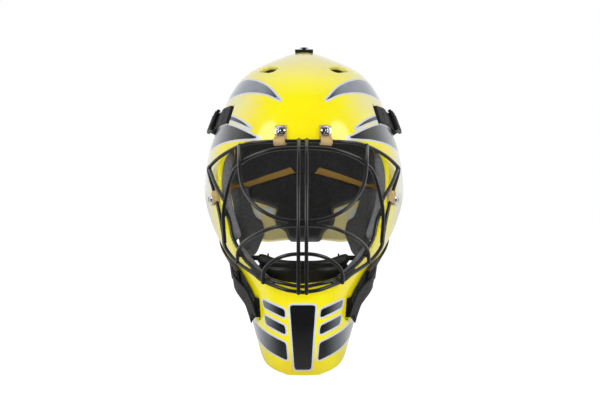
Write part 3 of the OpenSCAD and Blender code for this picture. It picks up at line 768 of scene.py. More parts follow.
class Outline:
    """A closed outline of turns and heights on a skin."""
    reach = 30.0

    def __init__(self, skin: Skin, corners: Keys, radius: float) -> None:
        """Rounds the corners and lays the outline on the skin.

        Args:
            skin: the skin that it lies on.
            corners: turns and heights of its corners.
            radius: size of the corners' arcs, in millimetres.
        """
        self.skin = skin
        flat = np.array(corners, float)
        across = skin.half_width(flat[:, 1].mean())
        scale = (math.radians(1) * max(across, 20), 1)
        if radius:
            flat = rounded(flat, radius, scale)
        dense = []
        for a, b in zip(flat, np.roll(flat, -1, axis=0)):
            parts = max(1, int(np.linalg.norm((b - a) * scale) / 6))
            dense += [a + (b - a) * k / parts for k in range(parts)]
        self.flat = np.array(dense)
        self.line = skin.at(self.flat[:, 0], self.flat[:, 1])

    def depth(self, points: Points, places: Points) -> np.ndarray:
        """How far inside the outline points of the skin lie, below nothing outside.

        Args:
            points: points on the skin.
            places: their turns and heights.

        Returns:
            The distances, no further than the outline's reach.
        """
        depth = np.full(len(points), -self.reach)
        low, high = self.line.min(0) - self.reach, self.line.max(0) + self.reach
        near = ((points > low) & (points < high)).all(1)
        if near.any():
            middle = self.flat[:, 0].mean()
            turn = (places[near, 0] - middle + 180) % 360 - 180 + middle
            inside = inside_outline(np.stack([turn, places[near, 1]], 1), self.flat)
            distance, _ = nearest_on_outline(points[near], self.line)
            depth[near] = np.where(inside, distance, -distance)
        return np.clip(depth, -self.reach, self.reach)


def slot_gap(points: Points, axes: Axes, length: float, width: float) -> np.ndarray:
    """Distance outside a slot with round ends.

    Args:
        points: points on the skin.
        axes: the slot's middle, with X along it.
        length: length over the round ends.
        width: width of the slot.

    Returns:
        The distances, and a large number on the far side of the head.
    """
    local = axes.into(points)
    run = np.maximum(np.abs(local[:, 0]) - (length - width) / 2, 0)
    gap = np.hypot(run, local[:, 1]) - width / 2
    return np.where(np.abs(local[:, 2]) < 30, gap, 99.0)


def flat_gap(points: Points, normals: Points, outline: Points, used: tuple[int, int]
             ) -> np.ndarray:
    """Distance over the skin to an outline that is cut straight through it.

    Args:
        points: points on the skin.
        normals: their outward directions.
        outline: the flat outline.
        used: which two coordinates the outline is drawn in.

    Returns:
        The distances, above nothing outside the outline.
    """
    flat = points[:, list(used)]
    distance, away = nearest_on_outline(flat, outline)
    slope = 1 - (away * normals[:, list(used)]).sum(1) ** 2
    inside = inside_outline(flat, outline)
    return np.where(inside, -1, 1) * distance / np.sqrt(np.clip(slope, FLATTEST, 1))


# Shader writing

class Socket:
    """One output of a material's nodes. Arithmetic on it adds Math nodes."""

    def __init__(self, bench: "Bench", out: bpy.types.NodeSocket | None) -> None:
        """Keeps the output, if the node has any, and the bench that it belongs to."""
        self.bench, self.out = bench, out

    def __add__(self, other: "Socket | float") -> "Socket":
        """Sum."""
        return self.bench.math("ADD", self, other)

    def __sub__(self, other: "Socket | float") -> "Socket":
        """Difference."""
        return self.bench.math("SUBTRACT", self, other)

    def __rsub__(self, other: float) -> "Socket":
        """Difference, the other way round."""
        return self.bench.math("SUBTRACT", other, self)

    def __mul__(self, other: "Socket | float") -> "Socket":
        """Product."""
        return self.bench.math("MULTIPLY", self, other)

    def __abs__(self) -> "Socket":
        """Size without its sign."""
        return self.bench.math("ABSOLUTE", self)

    __radd__ = __add__
    __rmul__ = __mul__

    def sin(self) -> "Socket":
        """Sine of an angle in radians."""
        return self.bench.math("SINE", self)

    def most(self, other: "Socket | float") -> "Socket":
        """The larger of two values."""
        return self.bench.math("MAXIMUM", self, other)

    def least(self, other: "Socket | float") -> "Socket":
        """The smaller of two values."""
        return self.bench.math("MINIMUM", self, other)

    def part(self, name: str) -> "Socket":
        """One coordinate of a vector."""
        return self.bench.add("ShaderNodeSeparateXYZ", None, {0: self}, name)

    def step(self, low: float, high: float) -> "Socket":
        """Rises smoothly from 0 at low to 1 at high, or falls where high is below low."""
        return self.bench.add("ShaderNodeMapRange", {"interpolation_type": "SMOOTHSTEP"},
                              {0: self, 1: low, 2: high, 3: 0.0, 4: 1.0})


class Bench:
    """Writes the nodes of one material or world."""

    def __init__(self, tree: bpy.types.NodeTree) -> None:
        """Empties the tree."""
        self.tree = tree
        tree.nodes.clear()

    def add(self, kind: str, settings: dict | None = None, sockets: dict | None = None,
            out: int | str = 0) -> Socket:
        """Adds a node.

        Args:
            kind: the node's type.
            settings: its settings, which are set first.
            sockets: values or links of its inputs, by name or number.
            out: the output that is wanted.

        Returns:
            That output.
        """
        node = self.tree.nodes.new(kind)
        for name, value in (settings or {}).items():
            setattr(node, name, value)
        for name, value in (sockets or {}).items():
            goal = node.inputs[name]
            if isinstance(value, Socket):
                self.tree.links.new(value.out, goal)
            else:
                goal.default_value = (*value, 1.0) if goal.type == "RGBA" else value
        return Socket(self, node.outputs[out] if node.outputs else None)

    def math(self, operation: str, *values: Socket | float) -> Socket:
        """Adds a Math node."""
        return self.add("ShaderNodeMath", {"operation": operation}, dict(enumerate(values)))

    def mix(self, share: Socket | float, first: Socket | Colour, second: Socket | Colour) -> Socket:
        """Mixes two colours."""
        return self.add("ShaderNodeMix", {"data_type": "RGBA"}, {0: share, 6: first, 7: second}, 2)

    def tint(self, colour: Socket | Colour, amount: Socket) -> Socket:
        """Darkens or lightens a colour by a value round one."""
        grey = self.add("ShaderNodeCombineXYZ", None, {0: amount, 1: amount, 2: amount})
        return self.add("ShaderNodeVectorMath", {"operation": "MULTIPLY"}, {0: colour, 1: grey})

    def place(self) -> Socket:
        """Position in the object's own axes, in metres."""
        return self.add("ShaderNodeTexCoord", None, None, "Object")

    def field(self, name: str) -> Socket:
        """A number stored on the mesh."""
        return self.add("ShaderNodeAttribute", {"attribute_name": name}, None, "Fac")

    def lay(self) -> tuple[Socket, Socket]:
        """Along and sideways, in millimetres, as a sweep stores them."""
        vector = self.add("ShaderNodeAttribute", {"attribute_name": "lay"}, None, "Vector")
        return vector.part("X"), vector.part("Y")

    def light(self, kind: str, strength: float) -> Socket:
        """A white Emission or Background shader."""
        return self.add("ShaderNode" + kind, None, {"Color": WHITE, "Strength": strength})

    def ray(self, kind: str) -> Socket:
        """One for rays of a kind."""
        return self.add("ShaderNodeLightPath", None, None, f"Is {kind} Ray")

    def seen(self) -> Socket:
        """One for rays that show the background: from the camera, gloss or glass."""
        return self.ray("Camera").most(self.ray("Glossy")).most(self.ray("Transmission"))

    def blend(self, share: Socket, first: Socket, second: Socket) -> Socket:
        """Mixes two shaders."""
        return self.add("ShaderNodeMixShader", None, {0: share, 1: first, 2: second})

    def noise(self, size: float, detail: float = 2, at: Socket | None = None,
              rough: float = 0.5) -> Socket:
        """Cloudy value from 0 to 1.

        Args:
            size: size of the clouds, in millimetres.
            detail: number of finer layers.
            at: where it is read, or the object's own position.
            rough: strength of the finer layers.

        Returns:
            The value.
        """
        return self.add("ShaderNodeTexNoise", None, {
            "Vector": at or self.place(), "Scale": 1 / (size * MM), "Detail": detail,
            "Roughness": rough}, "Fac")

    def cells(self, size: float, feature: str = "F1", at: Socket | None = None) -> Socket:
        """Distance in a pattern of cells of a size in millimetres."""
        return self.add("ShaderNodeTexVoronoi", {"feature": feature}, {
            "Vector": at or self.place(), "Scale": 1 / (size * MM)}, "Distance")

    def bump(self, height: Socket, depth: float, strength: float = 1) -> Socket:
        """Normal from a height, with its depth in millimetres."""
        return self.add("ShaderNodeBump", None, {
            "Height": height, "Distance": depth * MM, "Strength": strength}, "Normal")

    def surface(self, others: dict, colour: Socket, roughness: Socket | float,
                normal: Socket) -> None:
        """Adds the main shader and joins it to the output.

        Args:
            others: its other inputs, by name.
            colour: Base Color.
            roughness: Roughness.
            normal: Normal.
        """
        shader = self.add("ShaderNodeBsdfPrincipled", None, {
            **others, "Base Color": colour, "Roughness": roughness, "Normal": normal}, "BSDF")
        self.add("ShaderNodeOutputMaterial", None, {"Surface": shader})


class Finish:
    """A surface finish. Its material is made once."""
    made: dict[str, bpy.types.Material] = {}

    def write(self, bench: Bench) -> None:
        """Writes the finish's nodes."""
        raise NotImplementedError

    def material(self) -> bpy.types.Material:
        """The Blender material of this finish."""
        name = type(self).__name__
        if name not in Finish.made:
            material = bpy.data.materials.new(name)
            material.use_nodes = True
            self.write(Bench(material.node_tree))
            Finish.made[name] = material
        return Finish.made[name]


@dataclass(frozen=True)
class LacqueredPaint(Finish):
    """Clear-coated yellow paint with a pale haze painted on as reflection, and dark motifs in
    silver outlines, partly blue-grey as paint tone and painted reflection.
    """
    yellow: Colour = srgb(255, 244, 2)
    deep: Colour = srgb(254, 232, 0)
    black: Colour = srgb(17, 18, 21)
    # Blue-grey of the motifs, partly paint tone and partly painted reflection.
    slate_and_reflection: Colour = srgb(124, 132, 145)
    silver: Colour = srgb(226, 230, 234)
    # Pale colour of the painted reflection, laid over the yellow where the shell turns away.
    haze: Colour = srgb(224, 226, 218)
    line: float = 1.9

    def write(self, bench: Bench) -> None:
        """Writes the finish's nodes."""
        motif = bench.field("paint")
        cloud = bench.noise(45, 3)
        yellow = bench.mix(cloud.step(0.3, 0.8), self.yellow, self.deep)
        # Painted reflection: the share of pale haze, streaked by noise, standing in for the white
        # surroundings mirrored where the shell turns away.
        painted_reflection_share = bench.field("painted_reflection") * (0.8 + bench.noise(9, 4, rough=0.65) * 0.4)
        base = bench.mix(painted_reflection_share.least(1), yellow, self.haze)
        silver = bench.mix(bench.noise(1.1, 1), self.silver, srgb(200, 205, 212))
        outlined = bench.mix(motif.step(-self.line - 0.25, -self.line + 0.05), base, silver)
        # Share of blue-grey in the motifs, rising away from the middle: partly paint tone, partly
        # painted reflection.
        slate_and_reflection = bench.field("slate_and_reflection") * (0.75 + bench.noise(12, 3) * 0.5)
        dark = bench.mix(slate_and_reflection.least(1), self.black, self.slate_and_reflection)
        colour = bench.mix(motif.step(-0.12, 0.12), outlined, dark)
        peel = bench.noise(2.2, 2)
        scuff = bench.noise(14, 5, rough=0.7).step(0.62, 0.8)
        layers = motif.step(-self.line - 0.5, -self.line + 0.3) + motif.step(-0.3, 0.3)
        normal = bench.bump(peel * 0.3 + layers, 0.035)
        bench.surface({"IOR": 1.5, "Coat Weight": 1 - scuff * 0.25, "Coat Roughness": 0.16,
                       "Coat IOR": 1.6, "Specular IOR Level": 0.12}, colour,
                      0.32 + scuff * 0.12 + peel * 0.05, normal)


@dataclass(frozen=True)
class FibreWall(Finish):
    """Bare inside of the moulded wall: woven fibre under resin, pale below, turned brownish yellow
    above by painted shade, with cloudy brownish patches.
    """
    pale: Colour = srgb(250, 238, 172)
    amber_tone_and_painted_shade: Colour = srgb(206, 164, 84)

    def write(self, bench: Bench) -> None:
        """Writes the finish's nodes."""
        cloud = bench.noise(22, 4)
        # Cloudy patches of darker resin, at random.
        shade = cloud.step(0.45, 0.75) * 0.3
        warp, weft = (bench.add("ShaderNodeTexWave", {"bands_direction": way}, {
            "Vector": bench.place(), "Scale": 1 / (14 * MM), "Distortion": 0.6}, "Fac")
            for way in "XZ")
        weave = warp + weft
        # Painted shade: the wall is brownish yellow above mid-height and pale below.
        above = bench.place().part("Z").step(-6 * MM, 8 * MM)
        base = bench.mix(shade.most(above), self.pale, self.amber_tone_and_painted_shade)
        colour = bench.tint(base, 0.93 + weave * 0.03 + bench.noise(3, 2) * 0.08)
        bench.surface({"Specular IOR Level": 0.5}, colour, 0.36 + cloud * 0.2,
                      bench.bump(weave + cloud * 0.6, 0.05))


@dataclass(frozen=True)
class CoatedWire(Finish):
    """Steel wire dipped in gloss black."""
    black: Colour = srgb(24, 25, 28)
    worn: Colour = srgb(42, 44, 48)

    def write(self, bench: Bench) -> None:
        """Writes the finish's nodes."""
        cloud, sag = bench.noise(16, 3), bench.noise(5, 2)
        colour = bench.mix(cloud.step(0.55, 0.8), self.black, self.worn)
        bench.surface({"Coat Weight": 0.7, "Coat Roughness": 0.08, "Specular IOR Level": 0.4},
                      colour, 0.28 + cloud * 0.12,
                      bench.bump(sag + bench.noise(0.9, 1) * 0.15, 0.1))


@dataclass(frozen=True)
class MouldedTan(Finish):
    """Tan moulded plastic of the cage clips."""
    tan: Colour = srgb(202, 175, 120)
    dark: Colour = srgb(172, 143, 92)

    def write(self, bench: Bench) -> None:
        """Writes the finish's nodes."""
        cloud, grain = bench.noise(4, 3), bench.noise(0.35, 2)
        colour = bench.mix(cloud.step(0.35, 0.75), self.tan, self.dark)
        bench.surface({"Subsurface Weight": 0.12, "Subsurface Scale": 0.002,
                       "Specular IOR Level": 0.45}, colour, 0.38 + grain * 0.15,
                      bench.bump(grain + cloud, 0.05))


@dataclass(frozen=True)
class Chrome(Finish):
    """Bright plated screw heads."""
    bright: Colour = srgb(232, 233, 236)

    def write(self, bench: Bench) -> None:
        """Writes the finish's nodes."""
        haze = bench.noise(1.6, 3)
        colour = bench.mix(haze.step(0.5, 0.8), self.bright, srgb(198, 200, 206))
        bench.surface({"Metallic": 1.0}, colour, 0.12 + haze * 0.14,
                      bench.bump(bench.noise(0.5, 2), 0.01))


@dataclass(frozen=True)
class ZincSteel(Finish):
    """Zinc-plated nuts and studs."""
    zinc: Colour = srgb(182, 184, 186)

    def write(self, bench: Bench) -> None:
        """Writes the finish's nodes."""
        haze = bench.noise(1.5, 4)
        colour = bench.mix(haze, self.zinc, srgb(140, 142, 146))
        bench.surface({"Metallic": 1.0}, colour, 0.3 + haze * 0.25,
                      bench.bump(bench.cells(1.2), 0.02))


@dataclass(frozen=True)
class Foam(Finish):
    """Face of the closed-cell foam pads, with a fine cell structure."""
    grey: Colour = srgb(50, 51, 53)
    light: Colour = srgb(64, 65, 67)

    def write(self, bench: Bench) -> None:
        """Writes the finish's nodes."""
        mottle, cells = bench.noise(3.2, 4, rough=0.65), bench.cells(0.7)
        colour = bench.mix(mottle.step(0.35, 0.72), self.grey, self.light)
        colour = bench.tint(colour, 0.85 + cells * 0.35)
        bench.surface({"Specular IOR Level": 0.3, "Sheen Weight": 0.15, "Sheen Roughness": 0.5},
                      colour, 0.62 + mottle * 0.2,
                      bench.bump(cells * 0.5 + mottle, 0.18))


@dataclass(frozen=True)
class SideFoamPaintedLight(Foam):
    """The foam beside the cheeks and jaw, painted paler than the other pads as painted light."""
    grey: Colour = srgb(82, 84, 87)
    light: Colour = srgb(102, 104, 107)


@dataclass(frozen=True)
class FoamEdgePaintedLight(Finish):
    """Cut sides of the foam, painted lighter than the faces as a painted highlight."""
    grey: Colour = srgb(112, 114, 117)
    light: Colour = srgb(134, 135, 138)

    def write(self, bench: Bench) -> None:
        """Writes the finish's nodes."""
        mottle, cells = bench.noise(1.6, 4, rough=0.7), bench.cells(0.9)
        colour = bench.mix(mottle.step(0.3, 0.7), self.grey, self.light)
        bench.surface({"Specular IOR Level": 0.2}, bench.tint(colour, 0.75 + cells * 0.5), 0.85,
                      bench.bump(cells + mottle * 0.5, 0.3))


@dataclass(frozen=True)
class CupCover(Finish):
    """Gloss black grained cover of the chin cup."""
    black: Colour = srgb(15, 15, 17)

    def write(self, bench: Bench) -> None:
        """Writes the finish's nodes."""
        grain, fold = bench.cells(1.1, "SMOOTH_F1"), bench.noise(18, 3)
        colour = bench.mix(fold.step(0.4, 0.8), self.black, srgb(26, 26, 29))
        bench.surface({"Coat Weight": 0.2, "Coat Roughness": 0.25, "Specular IOR Level": 0.45},
                      colour, 0.36 + fold * 0.16, bench.bump(grain * 0.6 + fold * 3, 0.15))


@dataclass(frozen=True)
class HookTape(Finish):
    """Stiff hooks of a fastening tape."""
    white: Colour = srgb(250, 254, 250)

    def write(self, bench: Bench) -> None:
        """Writes the finish's nodes."""
        hooks = bench.cells(0.8)
        colour = bench.tint(self.white, 1.0 - hooks * 0.22)
        bench.surface({"Sheen Weight": 0.2, "Specular IOR Level": 0.3}, colour, 0.75,
                      bench.bump(1 - hooks, 0.2))


@dataclass(frozen=True)
class Webbing(Finish):
    """Black nylon webbing with a ribbed twill."""
    black: Colour = srgb(20, 20, 22)
    thread: Colour = srgb(36, 36, 40)

    def write(self, bench: Bench) -> None:
        """Writes the finish's nodes."""
        along, side = bench.lay()
        rib = (side * (math.tau / 1.3)).sin()
        pick = ((along + rib * 0.35) * (math.tau / 0.9)).sin()
        cloth = (rib * 0.5 + 0.5) * (0.6 + pick * 0.4)
        fuzz = bench.noise(0.5, 2)
        colour = bench.mix(cloth * 0.7 + fuzz * 0.25, self.black, self.thread)
        bench.surface({"Sheen Weight": 0.1, "Sheen Roughness": 0.4, "Specular IOR Level": 0.35},
                      colour, 0.6 + fuzz * 0.15, bench.bump(cloth + fuzz * 0.2, 0.28))


@dataclass(frozen=True)
class Elastic(Finish):
    """Black woven elastic with long ribs and crimped picks."""
    black: Colour = srgb(18, 18, 20)
    thread: Colour = srgb(40, 40, 44)

    def write(self, bench: Bench) -> None:
        """Writes the finish's nodes."""
        along, side = bench.lay()
        rib = abs((side * (math.pi / 2.3)).sin())
        crimp = abs((along * (math.pi / 0.8)).sin())
        cloth = rib * (0.55 + crimp * 0.45)
        fuzz = bench.noise(0.5, 2)
        colour = bench.mix(cloth * 0.6 + fuzz * 0.25, self.black, self.thread)
        bench.surface({"Sheen Weight": 0.12, "Sheen Roughness": 0.4, "Specular IOR Level": 0.3},
                      colour, 0.66 + fuzz * 0.15, bench.bump(cloth + fuzz * 0.2, 0.32))


@dataclass(frozen=True)
class Thread(Finish):
    """Waxed black sewing thread."""
    black: Colour = srgb(46, 46, 50)

    def write(self, bench: Bench) -> None:
        """Writes the finish's nodes."""
        along, side = bench.lay()
        twist = ((along + side) * (math.tau / 0.6)).sin() * 0.5 + 0.5
        bench.surface({"Sheen Weight": 0.2}, bench.mix(twist, self.black, srgb(78, 78, 82)), 0.5,
                      bench.bump(twist, 0.1))


@dataclass(frozen=True)
class BuckleNylon(Finish):
    """Black moulded nylon of the buckles."""
    black: Colour = srgb(22, 22, 24)

    def write(self, bench: Bench) -> None:
        """Writes the finish's nodes."""
        grain, rub = bench.noise(0.45, 2), bench.noise(6, 4)
        colour = bench.mix(rub.step(0.5, 0.8), self.black, srgb(44, 44, 47))
        bench.surface({"Specular IOR Level": 0.5}, colour, 0.36 + grain * 0.16,
                      bench.bump(grain + rub, 0.04))


@dataclass(frozen=True)
class RivetMetal(Finish):
    """Dark plated rivets with rubbed tops."""
    dark: Colour = srgb(54, 54, 57)

    def write(self, bench: Bench) -> None:
        """Writes the finish's nodes."""
        rub = bench.noise(1.4, 4)
        colour = bench.mix(rub.step(0.4, 0.75), self.dark, srgb(92, 92, 95))
        bench.surface({"Metallic": 1.0}, colour, 0.34 + rub * 0.2,
                      bench.bump(rub, 0.02))


# How pieces are made and put on their bodies

class Slot(Enum):
    """The record's material slots."""
    PAINT = "shell_yellow"
    CAGE = "cage_black"
    CLIP = "clip_tan"
    CHROME = "screw_chrome"
    FOAM = "foam_grey"
    CUP = "cup_black"
    HOOK = "hook_white"
    WEBBING = "webbing_black"
    BUCKLE = "buckle_black"
    RIVET = "rivet_dark"


@dataclass(frozen=True)
class Bend:
    """The two bodies and the two ends of a stretch of fabric that passes from one to the other."""
    first: str
    second: str
    start: Points
    end: Points


def hand_in(form: Form, name: str, finishes: Sequence[Finish], slot: Slot,
            moves: "str | Bend", node: str, crease: float = 40) -> None:
    """Makes a piece, puts it on its body and hides the CAD node that it replaces.

    Args:
        form: its shape.
        name: its name.
        finishes: its finishes, in the order of the form's finish numbers.
        slot: the record's material slot; not used.
        moves: the body that it rides on, or a bend, for which the piece is left where it is made,
            on no body.
        node: the CAD node that it replaces.
        crease: angle above which an edge stays sharp.
    """
    piece = form.piece(name, finishes, crease)
    if isinstance(moves, Bend):
        tuple(moves.start * MM)
        tuple(moves.end * MM)
        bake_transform(piece)
    else:
        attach(piece, moves)
    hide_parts(node)
    log.info("%s: %d points, %d faces", name, len(form.points), len(form.faces))


class Side(Enum):
    """Left and right of the wearer's helmet, as the part's nodes name them."""
    LEFT = "left"
    RIGHT = "right"

    def of(self, form: Form) -> Form:
        """A right-hand form, or its mirror image for the left."""
        return form.mirrored() if self is Side.LEFT else form

    def point(self, place: Points) -> Points:
        """A right-hand point, or its mirror image for the left."""
        return place * [-1, 1, 1] if self is Side.LEFT else place


# Shell and back plate

# Turn, height, roll, length and width of the cuts through the right of the shell.
VENT = (39.5, 134, 12, 25, 12)
CHIN_SLOT = (52, -106, 90, 24, 9)
STRAP_SLOT = (59, 87, 90, 22.8, 3.8)


@dataclass
class Shell:
    """The painted front shell and the back plate behind it."""
    rim_bulge: float = 1.0
    coarse: float = 2.1
    fine: float = 1.2
    coarse_turn: float = 1.1
    fine_turn: float = 0.62
    foot: float = -172
    face: float = -20
    far: float = 700
    fine_bands: Pairs = ((122, 148), (73, 101), (-121, -91))
    # Painted reflection of pale haze at the crown, the upper sides and the cheeks: strength, rise
    # over the distance from the middle, rise over the height.
    painted_reflections: Sequence[tuple[float, Pair, Pair]] = (
        (0.4, (-1, 0), (112, 150)), (0.5, (34, 74), (66, 104)), (0.95, (84, 103), (-70, -20)))
    # Blue-grey in the motifs, partly paint tone and partly painted reflection: strength, rise over
    # the distance from the middle, rise over the height.
    slate_and_reflection_tones: Sequence[tuple[float, Pair, Pair]] = (
        (0.75, (20, 44), (-80, -100)), (0.8, (70, 96), (20, 50)), (0.9, (20, 44), (88, 94)))
    opening: Pairs = (
        (0, 56.5), (40, 56.5), (66, 54), (80, 46.5), (85.5, 32), (85.8, 8),
        (80.5, -21), (71, -42), (59.5, -59), (43, -71.5), (24, -77.5), (0, -80.5))
    shell_edge: Pairs = (
        (-128, -180), (-107, -173.5), (-103.5, -169.5), (-94.5, -162.5), (-87.5, -156),
        (-80.5, -148), (-75, -137), (-60, -118), (-30, -90),
        (0, -68), (30, -54), (52, -46), (62, -36), (68, 0), (68, 40), (60, 84),
        (46, 122), (30, 160))
    back_edge: Pairs = (
        (54, 160), (66, 130), (78, 88), (83, 44), (82, 0), (80, -28), (86, -42),
        (97, -47), (111, -45.5), (124, -42.5), (132, -42))
    rim: Pairs = (
        (0.3, 0.0), (0.72, 0.07), (0.97, 0.24), (1.0, 0.5), (0.97, 0.76), (0.72, 0.93),
        (0.3, 1.0))

    def _smooth(self, keys: Pairs) -> Points:
        """An edge line, smoothed between its drawn corners."""
        return smooth_line(keys, 4 * len(keys))

    def _grid(self) -> tuple[np.ndarray, np.ndarray]:
        """Sets out the grid, with its points closer together at the slots and vents.

        Returns:
            The turns and the levels.
        """
        half = [0.0]
        while half[-1] < 179.4:
            half.append(half[-1] + (self.fine_turn if 32 < half[-1] < 66 else self.coarse_turn))
        half = np.array(half) * 180 / half[-1]
        turns = np.unique(np.round(np.concatenate([half[:-1], -half[1:]]), 6))
        dense = np.linspace(0.02, HELMET.last, 4000)
        side, front = HELMET.point(60 + 0 * dense, dense), HELMET.point(0 * dense, dense)
        run = (np.linalg.norm(np.diff(side, axis=0), axis=1)
               + np.linalg.norm(np.diff(front, axis=0), axis=1)) / 2
        height = side[:-1, 2]
        close = np.any([(height > low) & (height < high) for low, high in self.fine_bands], 0)
        count = np.concatenate([[0], np.cumsum(run / np.where(close, self.fine, self.coarse))])
        return turns, np.interp(np.linspace(0, count[-1], int(count[-1])), count, dense)

    def _shell_keep(self) -> Field:
        """What is kept of the skin for the front shell."""
        half = smooth_line(self.opening, 37)
        opening = np.vstack([half, half[-2:0:-1] * [-1, 1]])
        edge = np.vstack([self._smooth(self.shell_edge),
                          [[self.far, 160], [self.far, -self.far], [-128, -self.far]]])
        cuts = [(HELMET.axes(side * turn, height, 0, roll if roll == 90 else side * roll),
                 length, width)
                for turn, height, roll, length, width in (VENT, CHIN_SLOT, STRAP_SLOT)
                for side in (-1, 1)]

        def keep(points: Points, normals: Points) -> np.ndarray:
            """Distance to the nearest cut, less the rim's bulge."""
            kept = flat_gap(points, normals, edge, (1, 2))
            front = points[:, 1] < self.face
            if front.any():
                gap = flat_gap(points[front], normals[front], opening, (0, 2))
                kept[front] = np.minimum(kept[front], gap)
            slope = np.sqrt(np.clip(1 - normals[:, 2] ** 2, FLATTEST, 1))
            kept = np.minimum(kept, (points[:, 2] - self.foot) / slope)
            for axes, length, width in cuts:
                kept = np.minimum(kept, slot_gap(points, axes, length, width))
            return kept - self.rim_bulge

        return keep

    def _back_keep(self) -> Field:
        """What is kept of the skin for the back plate."""
        edge = np.vstack([self._smooth(self.back_edge), [[self.far, -42], [self.far, 160]]])

        def keep(points: Points, normals: Points) -> np.ndarray:
            """Distance to the plate's edge, less the rim's bulge."""
            return -flat_gap(points, normals, edge, (1, 2)) - self.rim_bulge

        return keep

    def _wall(self, keep: Field) -> Form:
        """A wall of the helmet's thickness.

        Args:
            keep: how far inside its edge a point lies.

        Returns:
            The wall.
        """
        turns, levels = self._grid()
        rim = [(out * self.rim_bulge, down) for out, down in self.rim]
        return Wall(HELMET, turns, levels, keep, lambda d: 0 * d, lambda d: 0 * d - SHELL_T, rim,
                    wraps=True).form()

    def _painted(self, form: Form) -> Form:
        """Adds the paint's fields to a wall.

        Args:
            form: the wall.

        Returns:
            The wall with paint, how far inside a motif a point lies; the share of pale haze
            painted on the yellow as reflection; and the share of blue-grey in the motifs,
            partly paint tone and partly painted reflection.
        """
        places = HELMET.locate(form.points)
        depth = np.full(len(form.points), -Outline.reach)
        for corners, radius in Motifs().outlines():
            for side in (-1, 1):
                outline = Outline(HELMET, np.array(corners) * [side, 1], radius)
                depth = np.maximum(depth, outline.depth(form.points, places))
        form.fields["paint"] = depth
        across, height = np.abs(form.points[:, 0]), form.points[:, 2]
        # Painted reflection on the yellow, and blue-grey in the motifs that is partly painted
        # reflection.
        for name, tones in (("painted_reflection", self.painted_reflections), ("slate_and_reflection", self.slate_and_reflection_tones)):
            form.fields[name] = np.max([share * rise(across, *wide) * rise(height, *high)
                                        for share, wide, high in tones], axis=0)
        return form

    def build(self) -> None:
        """Builds both walls."""
        paint, fibre = LacqueredPaint(), FibreWall()
        hand_in(self._painted(self._wall(self._shell_keep())), "painted_shell",
                (paint, fibre, paint), Slot.PAINT, "helmet", "shell")
        hand_in(self._painted(self._wall(self._back_keep())), "painted_back_plate",
                (paint, fibre, fibre), Slot.PAINT, "back_plate", "back_plate")


@dataclass(frozen=True)
class Motifs:
    """Painted shapes of the helmet's right half, as turns and heights of their corners."""
    chin_top: Pair = (12.5, -101)
    chin_foot: Pair = (8, -165.5)
    bands: Sequence[Sequence[Pairs]] = (
        (((27, 61), (45, 60.5), (62, 57), (85, 49), (118, 40)),
         ((118, 63), (85, 71), (62, 76.5), (45, 72), (27, 61.4))),
        (((34, 71), (46, 77.5), (62, 81.8), (85, 76), (118, 68)),
         ((118, 71), (85, 79.5), (62, 85.6), (46, 80.5), (34, 71.4))),
        (((16, 99), (28, 106), (46, 109), (68, 106), (112, 96)),
         ((112, 114), (68, 123), (46, 121.5), (28, 113.5), (16, 99.5))))
    bars: Sequence[Pairs] = (
        ((20, -156), (20, -138), (50, -128), (88, -112), (88, -130), (52, -146)),
        ((19, -130), (19, -121), (43.5, -112), (43.5, -121)),
        ((18, -113.5), (18, -105.5), (42, -97), (42, -104.5)))

    def _on_front(self, across: float, height: float) -> Pair:
        """Turn and height of a place given by its distance from the middle."""
        return math.degrees(math.asin(across / HELMET.half_width(height))), height

    def outlines(self) -> list[tuple[Keys, float]]:
        """Corners and corner radius of each motif."""
        chin = [self._on_front(*self.chin_top), self._on_front(*self.chin_foot)]
        chin += [(-turn, height) for turn, height in reversed(chin)]
        return [(chin, 3.0),
                *((np.vstack([smooth_line(edge, 17) for edge in band]), 0) for band in self.bands),
                *((bar, 2.5) for bar in self.bars)]


# Cage

RIM_TOP = [(0, -108.8, 57.6), (20, -107.6, 57.5), (40, -102, 57), (56, -92.5, 55.5),
           (70, -79, 51), (84, -65, 43.5), (95, -51, 34.5)]
RIM_SIDE = [(97, -47, 31), (94.5, -52.3, 21), (89.4, -62.7, 6), (84, -72.3, -14),
            (80, -79, -34)]
RIM_LOW = [(77.5, -83, -47), (66, -98, -60.5), (48, -119, -71.5), (38.5, -129, -78),
           (17, -145, -85.5), (0, -149.5, -88)]
RIM_HALF = RIM_TOP + RIM_SIDE + RIM_LOW
TOP_CLIP_AT, SIDE_CLIP_AT = (13.2, 67.5), (62, 1)
TOP_CLIP_ON_RIM, SIDE_CLIP_ON_RIM = 1.12, 9.2


